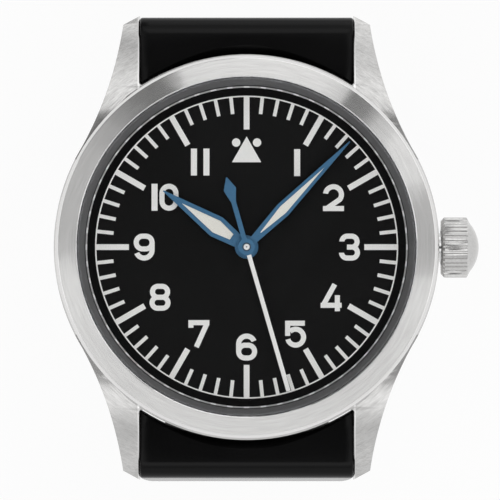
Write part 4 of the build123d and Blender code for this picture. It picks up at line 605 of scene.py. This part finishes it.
# The seconds hand is one thin strip of steel, painted white from the hub's edge to its tip, with hub
# and tail blued. A dark ring on the hub frames the pipe.
seconds_direction = radians(163.8)
hub_radius = 0.86 * mm
hub_ring_radius = 0.50 * mm
hub_ring_softness = 0.10 * mm
hub_ring_colour = (0.022, 0.050, 0.085)
needle = Finish("seconds_paint", (0.8, 0.8, 0.78), roughness=0.45)
along = needle.x * sin(seconds_direction) + needle.y * cos(seconds_direction)
white_part = along.step(hub_radius, hub_radius + edge_softness)
needle_grain = needle.noise(scale=3800.0, detail=3.0)
beyond_ring = needle.from_axis().step(hub_ring_radius - hub_ring_softness, hub_ring_radius)
needle_blue = needle.tint(needle_grain, blue_hollow, blue_crest)
tail_colour = needle.tint(beyond_ring, hub_ring_colour, needle_blue)
needle.feed(Base_Color=needle.tint(white_part, tail_colour, (0.92, 0.92, 0.90)))
recast("seconds_hand", needle, edge=0.04 * mm)

# The movement's plates and bridges are striped, nickel-plated brass. Its barrel, balance and wheels
# are gilt brass, and its bearings are red jewels pressed into the plates.
stripe_width = 1.6 * mm
stripe_depth = 0.01 * mm
nickel = Finish("nickel_plate", (0.6, 0.58, 0.53), metallic=1.0, roughness=0.3)
stripe = (nickel.x * (2 * pi / stripe_width)).work("SINE") * 0.5 + 0.5
nickel_grain = nickel.noise(scale=3000.0, detail=3.0)
nickel.feed(
    Base_Color=nickel.tint(stripe, (0.56, 0.545, 0.50), (0.66, 0.64, 0.59)),
    Roughness=nickel_grain.between(0.15, 0.35) + stripe * 0.12,
)
nickel.bump(stripe, stripe_depth)
dress(nickel, "mainplate", "train_bridge", "balance_cock", "pallet_bridge")
gilt = Finish("gilt_brass", (0.80, 0.60, 0.25), metallic=1.0, roughness=0.25)
gilt_grain = gilt.noise(scale=5000.0, detail=3.0)
gilt.feed(
    Base_Color=gilt.tint(gilt_grain, (0.84, 0.65, 0.30), (0.74, 0.53, 0.20)),
    Roughness=gilt_grain.between(0.15, 0.35),
)
dress(
    gilt,
    "fourth_wheel",
    "centre_wheel",
    "hour_wheel",
    "third_wheel",
    "minute_wheel",
    "barrel",
    "balance_wheel",
)
ruby = Finish("ruby", (0.5, 0.02, 0.08), roughness=0.08, Coat_Weight=0.6)
ruby.feed(Base_Color=ruby.tint(ruby.noise(scale=1500.0), (0.55, 0.02, 0.09), (0.36, 0.01, 0.05)))
dress(ruby, "jewels")

# The strap is moulded black rubber in two halves and closes to a loop under the case. Each half begins
# in a block between the lugs, turned about its spring bar so that it clears the round case.
rubber_depth = 0.002 * mm
rubber = Finish("strap_rubber", (0.004, 0.004, 0.004), roughness=0.2, Specular_IOR_Level=0.13)
rubber_grain = rubber.noise(scale=7000.0, detail=3.0)
rubber_cloud = rubber.noise(scale=160.0)
rubber.feed(
    Base_Color=rubber.tint(rubber_cloud, (0.0020, 0.0020, 0.0021), (0.0036, 0.0036, 0.0038)),
    Roughness=rubber_grain.between(0.14, 0.20) + rubber_cloud * 0.05,
)
rubber.bump(rubber_grain, rubber_depth)

strap_wall_radius = 19.9 * mm
strap_thickness = 2.8 * mm
strap_edge = 0.25 * mm
strap_bore = 0.8 * mm
strap_low_drop = 1.25 * mm
lug_gap_taken = 0.045 * mm
wall_start_y = 16.4 * mm
loop_radius = 21.75 * mm
loop_drop = 28.5 * mm
narrow_half_width = 9.0 * mm
narrow_drop = 12.0 * mm
outline_merge = 0.02 * mm
low_margin = 0.1 * mm
towards_12, towards_6 = 1, -1

# An odd number of columns keeps the mesh's lines away from the middle, where each round hole has two
# of its corners.
strap_columns = 21

bar_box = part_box("spring_bar_12")
end_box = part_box("strap_short")
bar_y = (bar_box[0][1] + bar_box[1][1]) / 2
bar_z = (bar_box[0][2] + bar_box[1][2]) / 2
strap_top_z = end_box[1][2]
strap_low_z = bar_z - strap_low_drop
strap_end_radius = strap_top_z - bar_z
strap_half_width = end_box[1][0] + lug_gap_taken
loop_z = bar_z - loop_drop
narrow_z = loop_z - narrow_drop

# From the loop's widest place up to the spring bar, the strap's inside is part of a larger circle,
# whose centre lies at the height of the loop's.
inner_top_y = bar_y + strap_end_radius - strap_thickness
side_shift = (inner_top_y**2 + (bar_z - loop_z) ** 2 - loop_radius**2) / (2 * (loop_radius - inner_top_y))
side_radius = loop_radius + side_shift
outer_sweep = degrees(asin((bar_z - loop_z) / (side_radius + strap_thickness)))
inner_sweep = degrees(asin((strap_low_z - loop_z) / side_radius))
inner_low_y = side_radius * cos(radians(inner_sweep)) - side_shift


def loop_point(radius, angle):
    """A place in the strap's side view, with the angle from straight down towards 12."""
    return radius * sin(radians(angle)), loop_z - radius * cos(radians(angle))


def draw_start(name, y, z):
    """A new mesh of one corner, from which an outline is drawn in side view."""
    bpy.ops.object.select_all(action="DESELECT")
    bpy.ops.mesh.primitive_plane_add(size=mm, location=(0, 0, 0))
    piece = bpy.context.object
    piece.name = name
    bpy.ops.object.mode_set(mode="EDIT")
    bpy.ops.mesh.select_mode(type="VERT")
    bpy.ops.mesh.select_all(action="SELECT")
    bpy.ops.mesh.merge(type="CENTER")
    bpy.ops.transform.translate(value=(-strap_half_width, y, z))
    return piece


def draw_line(y, z, steps=1):
    """Carries the outline on by a straight stretch."""
    for _ in range(steps):
        bpy.ops.mesh.extrude_region_move(TRANSFORM_OT_translate={"value": (0, y / steps, z / steps)})


def draw_arc(centre, angle, steps):
    """Carries the outline on round a centre. A positive angle turns from 12 upwards."""
    bpy.ops.mesh.spin(steps=steps, angle=radians(-angle), center=(0, *centre), axis=(1, 0, 0))


def draw_head(side):
    """From the wall at the case over the top and round the spring bar to the loop's widest place."""
    draw_line(side * (bar_y - wall_start_y), 0, steps=3)
    draw_arc((side * bar_y, bar_z), -90 * side, steps=10)
    draw_arc((-side * side_shift, loop_z), -outer_sweep * side, steps=8)


def draw_return(side):
    """Up the inside from the loop's widest place, and back along the underside to the wall."""
    draw_arc((-side * side_shift, loop_z), inner_sweep * side, steps=8)
    draw_line(side * (wall_start_y - inner_low_y), 0, steps=3)
    draw_line(0, strap_top_z - strap_low_z, steps=8)


def choose_sides(piece):
    """Selects the two large, many-cornered faces at the strap's edges."""
    bpy.ops.mesh.select_mode(type="FACE")
    bpy.ops.mesh.select_all(action="DESELECT")
    bpy.ops.object.mode_set(mode="OBJECT")
    for face in piece.data.polygons:
        face.select = abs(face.normal.x) > 0.99 and len(face.vertices) > 4
    bpy.ops.object.mode_set(mode="EDIT")


def widen(piece, side):
    """Fills the outline, carries it across the strap, rounds its edges, and shapes wall and taper."""
    bpy.ops.mesh.select_all(action="SELECT")
    bpy.ops.mesh.remove_doubles(threshold=outline_merge)
    bpy.ops.mesh.edge_face_add()
    column = 2 * strap_half_width / strap_columns
    for _ in range(strap_columns):
        bpy.ops.mesh.extrude_region_move(TRANSFORM_OT_translate={"value": (column, 0, 0)})
    bpy.ops.mesh.select_all(action="SELECT")
    bpy.ops.mesh.normals_make_consistent(inside=False)
    choose_sides(piece)
    bpy.ops.mesh.region_to_loop()
    bpy.ops.mesh.bevel(offset=strap_edge, segments=4, affect="EDGES", clamp_overlap=False)
    choose_sides(piece)
    bpy.ops.mesh.quads_convert_to_tris(ngon_method="BEAUTY")
    bpy.ops.object.mode_set(mode="OBJECT")
    for corner in piece.data.vertices:
        x, y, z = corner.co
        anchor = inner_low_y if z < strap_low_z + low_margin else bar_y
        inward = (anchor - side * y) / (anchor - wall_start_y)
        if inward > 0 and z > strap_low_z - low_margin:
            reach = bar_y - sqrt(strap_wall_radius**2 - x**2)
            wall_y = bar_y - sqrt(max(reach**2 - (z - bar_z) ** 2, 0))
            corner.co.y = side * (anchor - inward * (anchor - wall_y))
        narrowing = min(max((strap_low_z - z) / (strap_low_z - narrow_z), 0), 1)
        corner.co.x = x * (1 - narrowing * (1 - narrow_half_width / strap_half_width))


def cut(piece, tool):
    """Takes a tool's shape out of a piece, and the tool away."""
    settle(piece, "BOOLEAN", object=tool, operation="DIFFERENCE", solver="EXACT")
    bpy.data.objects.remove(tool)


def drill(piece, radius, place, turn, depth=4 * strap_half_width):
    """Bores a round hole through a piece."""
    bpy.ops.object.select_all(action="DESELECT")
    bpy.ops.mesh.primitive_cylinder_add(
        vertices=48, radius=radius, depth=depth, location=place, rotation=turn
    )
    cut(piece, bpy.context.object)


# The short half ends in a round seat for the buckle's bar, which is notched for the tongue. Its
# outline is drawn in side view and carried across, and the bores and the notch are cut last.
buckle_bar_angle = 8.0
buckle_bar_bore = 0.85 * mm
buckle_bar_place = loop_point(loop_radius + strap_thickness / 2, buckle_bar_angle)
notch_angle = 10.5
notch_width = 2.4 * mm
notch_length = 10.0 * mm
notch_height = 3.4 * mm
across = (0, pi / 2, 0)
short_half = draw_start("strap_short_moulded", wall_start_y, strap_top_z)
draw_head(towards_12)
draw_arc((0, loop_z), buckle_bar_angle - 90, steps=44)
draw_arc(buckle_bar_place, -180, steps=12)
draw_arc((0, loop_z), 90 - buckle_bar_angle, steps=44)
draw_return(towards_12)
widen(short_half, towards_12)
drill(short_half, strap_bore, (0, bar_y, bar_z), across)
drill(short_half, buckle_bar_bore, (0, *buckle_bar_place), across)
bpy.ops.object.select_all(action="DESELECT")
bpy.ops.mesh.primitive_cube_add(
    size=1,
    location=(0, *loop_point(loop_radius + strap_thickness / 2, notch_angle)),
    rotation=(radians(notch_angle), 0, 0),
    scale=(notch_width, notch_length, notch_height),
)
cut(short_half, bpy.context.object)
smooth(short_half)
enter(short_half, "strap_short", rubber)

# The long half crosses over the buckle's bar, lies along the outside of the short half with its four
# tongue holes, and ends in a rounded tail. One circle carries it to the place where the halves meet,
# and another carries it on to the tail's end.
tail_meet_angle = 10.0
tail_meet_gap = 0.15 * mm
tail_end_angle = 64.0
tail_end_gap = 0.3 * mm
tail_corner = 5.5 * mm
tail_side_y = 6.0 * mm
tail_hole_radius = 1.45 * mm
first_hole_angle = -9.2
hole_pitch_angle = 15.0
hole_count = 4
meet_y, meet_z = loop_point(loop_radius + strap_thickness + tail_meet_gap, tail_meet_angle)
cross_shift = (meet_y**2 + (loop_z - meet_z) ** 2 - loop_radius**2) / (2 * (loop_radius + meet_y))
cross_radius = loop_radius + cross_shift
cross_end = degrees(atan2(meet_z - loop_z, meet_y - cross_shift)) + 360
tail_y, tail_z = loop_point(loop_radius + strap_thickness + tail_end_gap, tail_end_angle)
inward_y = (cross_shift - meet_y) / cross_radius
inward_z = (loop_z - meet_z) / cross_radius
tail_chord = hypot(tail_y - meet_y, tail_z - meet_z)
tail_radius = tail_chord**2 / (2 * ((tail_y - meet_y) * inward_y + (tail_z - meet_z) * inward_z))
tail_centre = (meet_y + tail_radius * inward_y, meet_z + tail_radius * inward_z)
tail_end = degrees(atan2(tail_z - tail_centre[1], tail_y - tail_centre[0])) + 360
long_half = draw_start("strap_long_moulded", -wall_start_y, strap_top_z)
draw_head(towards_6)
draw_arc((cross_shift, loop_z), cross_end - 180, steps=50)
draw_arc(tail_centre, tail_end - cross_end, steps=44)
draw_line(-strap_thickness * cos(radians(tail_end)), -strap_thickness * sin(radians(tail_end)))
draw_arc(tail_centre, cross_end - tail_end, steps=44)
draw_arc((cross_shift, loop_z), 180 - cross_end, steps=50)
draw_return(towards_6)
widen(long_half, towards_6)
for corner in long_half.data.vertices:
    if corner.co.y > tail_side_y and corner.co.z < loop_z:
        place_angle = degrees(atan2(corner.co.z - tail_centre[1], corner.co.y - tail_centre[0])) + 360
        left = max(tail_corner - radians(tail_end - place_angle) * tail_radius, 0)
        inset = tail_corner - sqrt(max(tail_corner**2 - left**2, 0))
        corner.co.x *= 1 - inset / narrow_half_width
drill(long_half, strap_bore, (0, -bar_y, bar_z), across)
for hole in range(hole_count):
    angle = first_hole_angle + hole * hole_pitch_angle
    place = (0, *loop_point(loop_radius + strap_thickness, angle))
    drill(long_half, tail_hole_radius, place, (radians(angle), 0, 0), depth=4 * strap_thickness)
smooth(long_half)
enter(long_half, "strap_long", rubber)

# Two keepers of the same rubber hold the tail down. One is fixed beside the buckle and one slides
# along the strap.
keeper_wall = 0.9 * mm
keeper_edge = 0.28 * mm
keeper_half_angle = 4.5


def mould_keeper(node, angle):
    """A flat loop of even wall, carried round the strap's own bend."""
    corners = [corner.co for corner in frame["nodes"][node].data.vertices]
    reaches = [hypot(corner.y, corner.z - loop_z) for corner in corners]
    width = 2 * max(corner.x for corner in corners)
    height = max(reaches) - min(reaches)
    bpy.ops.object.select_all(action="DESELECT")
    bpy.ops.mesh.primitive_plane_add(size=1, location=(0, 0, 0))
    piece = bpy.context.object
    piece.name = node + "_moulded"
    bpy.ops.object.mode_set(mode="EDIT")
    bpy.ops.transform.resize(value=(width, height, 1))
    bpy.ops.mesh.inset(thickness=keeper_wall)
    bpy.ops.mesh.delete(type="FACE")
    bpy.ops.object.mode_set(mode="OBJECT")
    piece.data.transform(
        Matrix.Translation((0, 0, loop_z))
        @ Matrix.Rotation(radians(angle - keeper_half_angle), 4, "X")
        @ Matrix.Translation((0, 0, -(max(reaches) + min(reaches)) / 2))
        @ Matrix.Rotation(pi / 2, 4, "X")
    )
    bpy.ops.object.mode_set(mode="EDIT")
    bpy.ops.mesh.select_all(action="SELECT")
    bpy.ops.mesh.spin(
        steps=8, angle=radians(-2 * keeper_half_angle), center=(0, 0, loop_z), axis=(1, 0, 0)
    )
    bpy.ops.mesh.select_all(action="SELECT")
    bpy.ops.mesh.normals_make_consistent(inside=False)
    bpy.ops.object.mode_set(mode="OBJECT")
    soften(piece, keeper_edge, segments=3)
    enter(piece, node, rubber)


mould_keeper("keeper_fixed", angle=21.0)
mould_keeper("keeper_loose", angle=40.0)

# The buckle's frame is bent from satin steel, and its tongue lies in the frame's end. Both turn on a
# bright bar in the short half's seat.
recast("buckle_frame", satin_steel, edge=0.3 * mm, segments=4)
recast("buckle_tongue", satin_steel, edge=0.2 * mm, segments=4)
recast("buckle_bar", bright_steel)
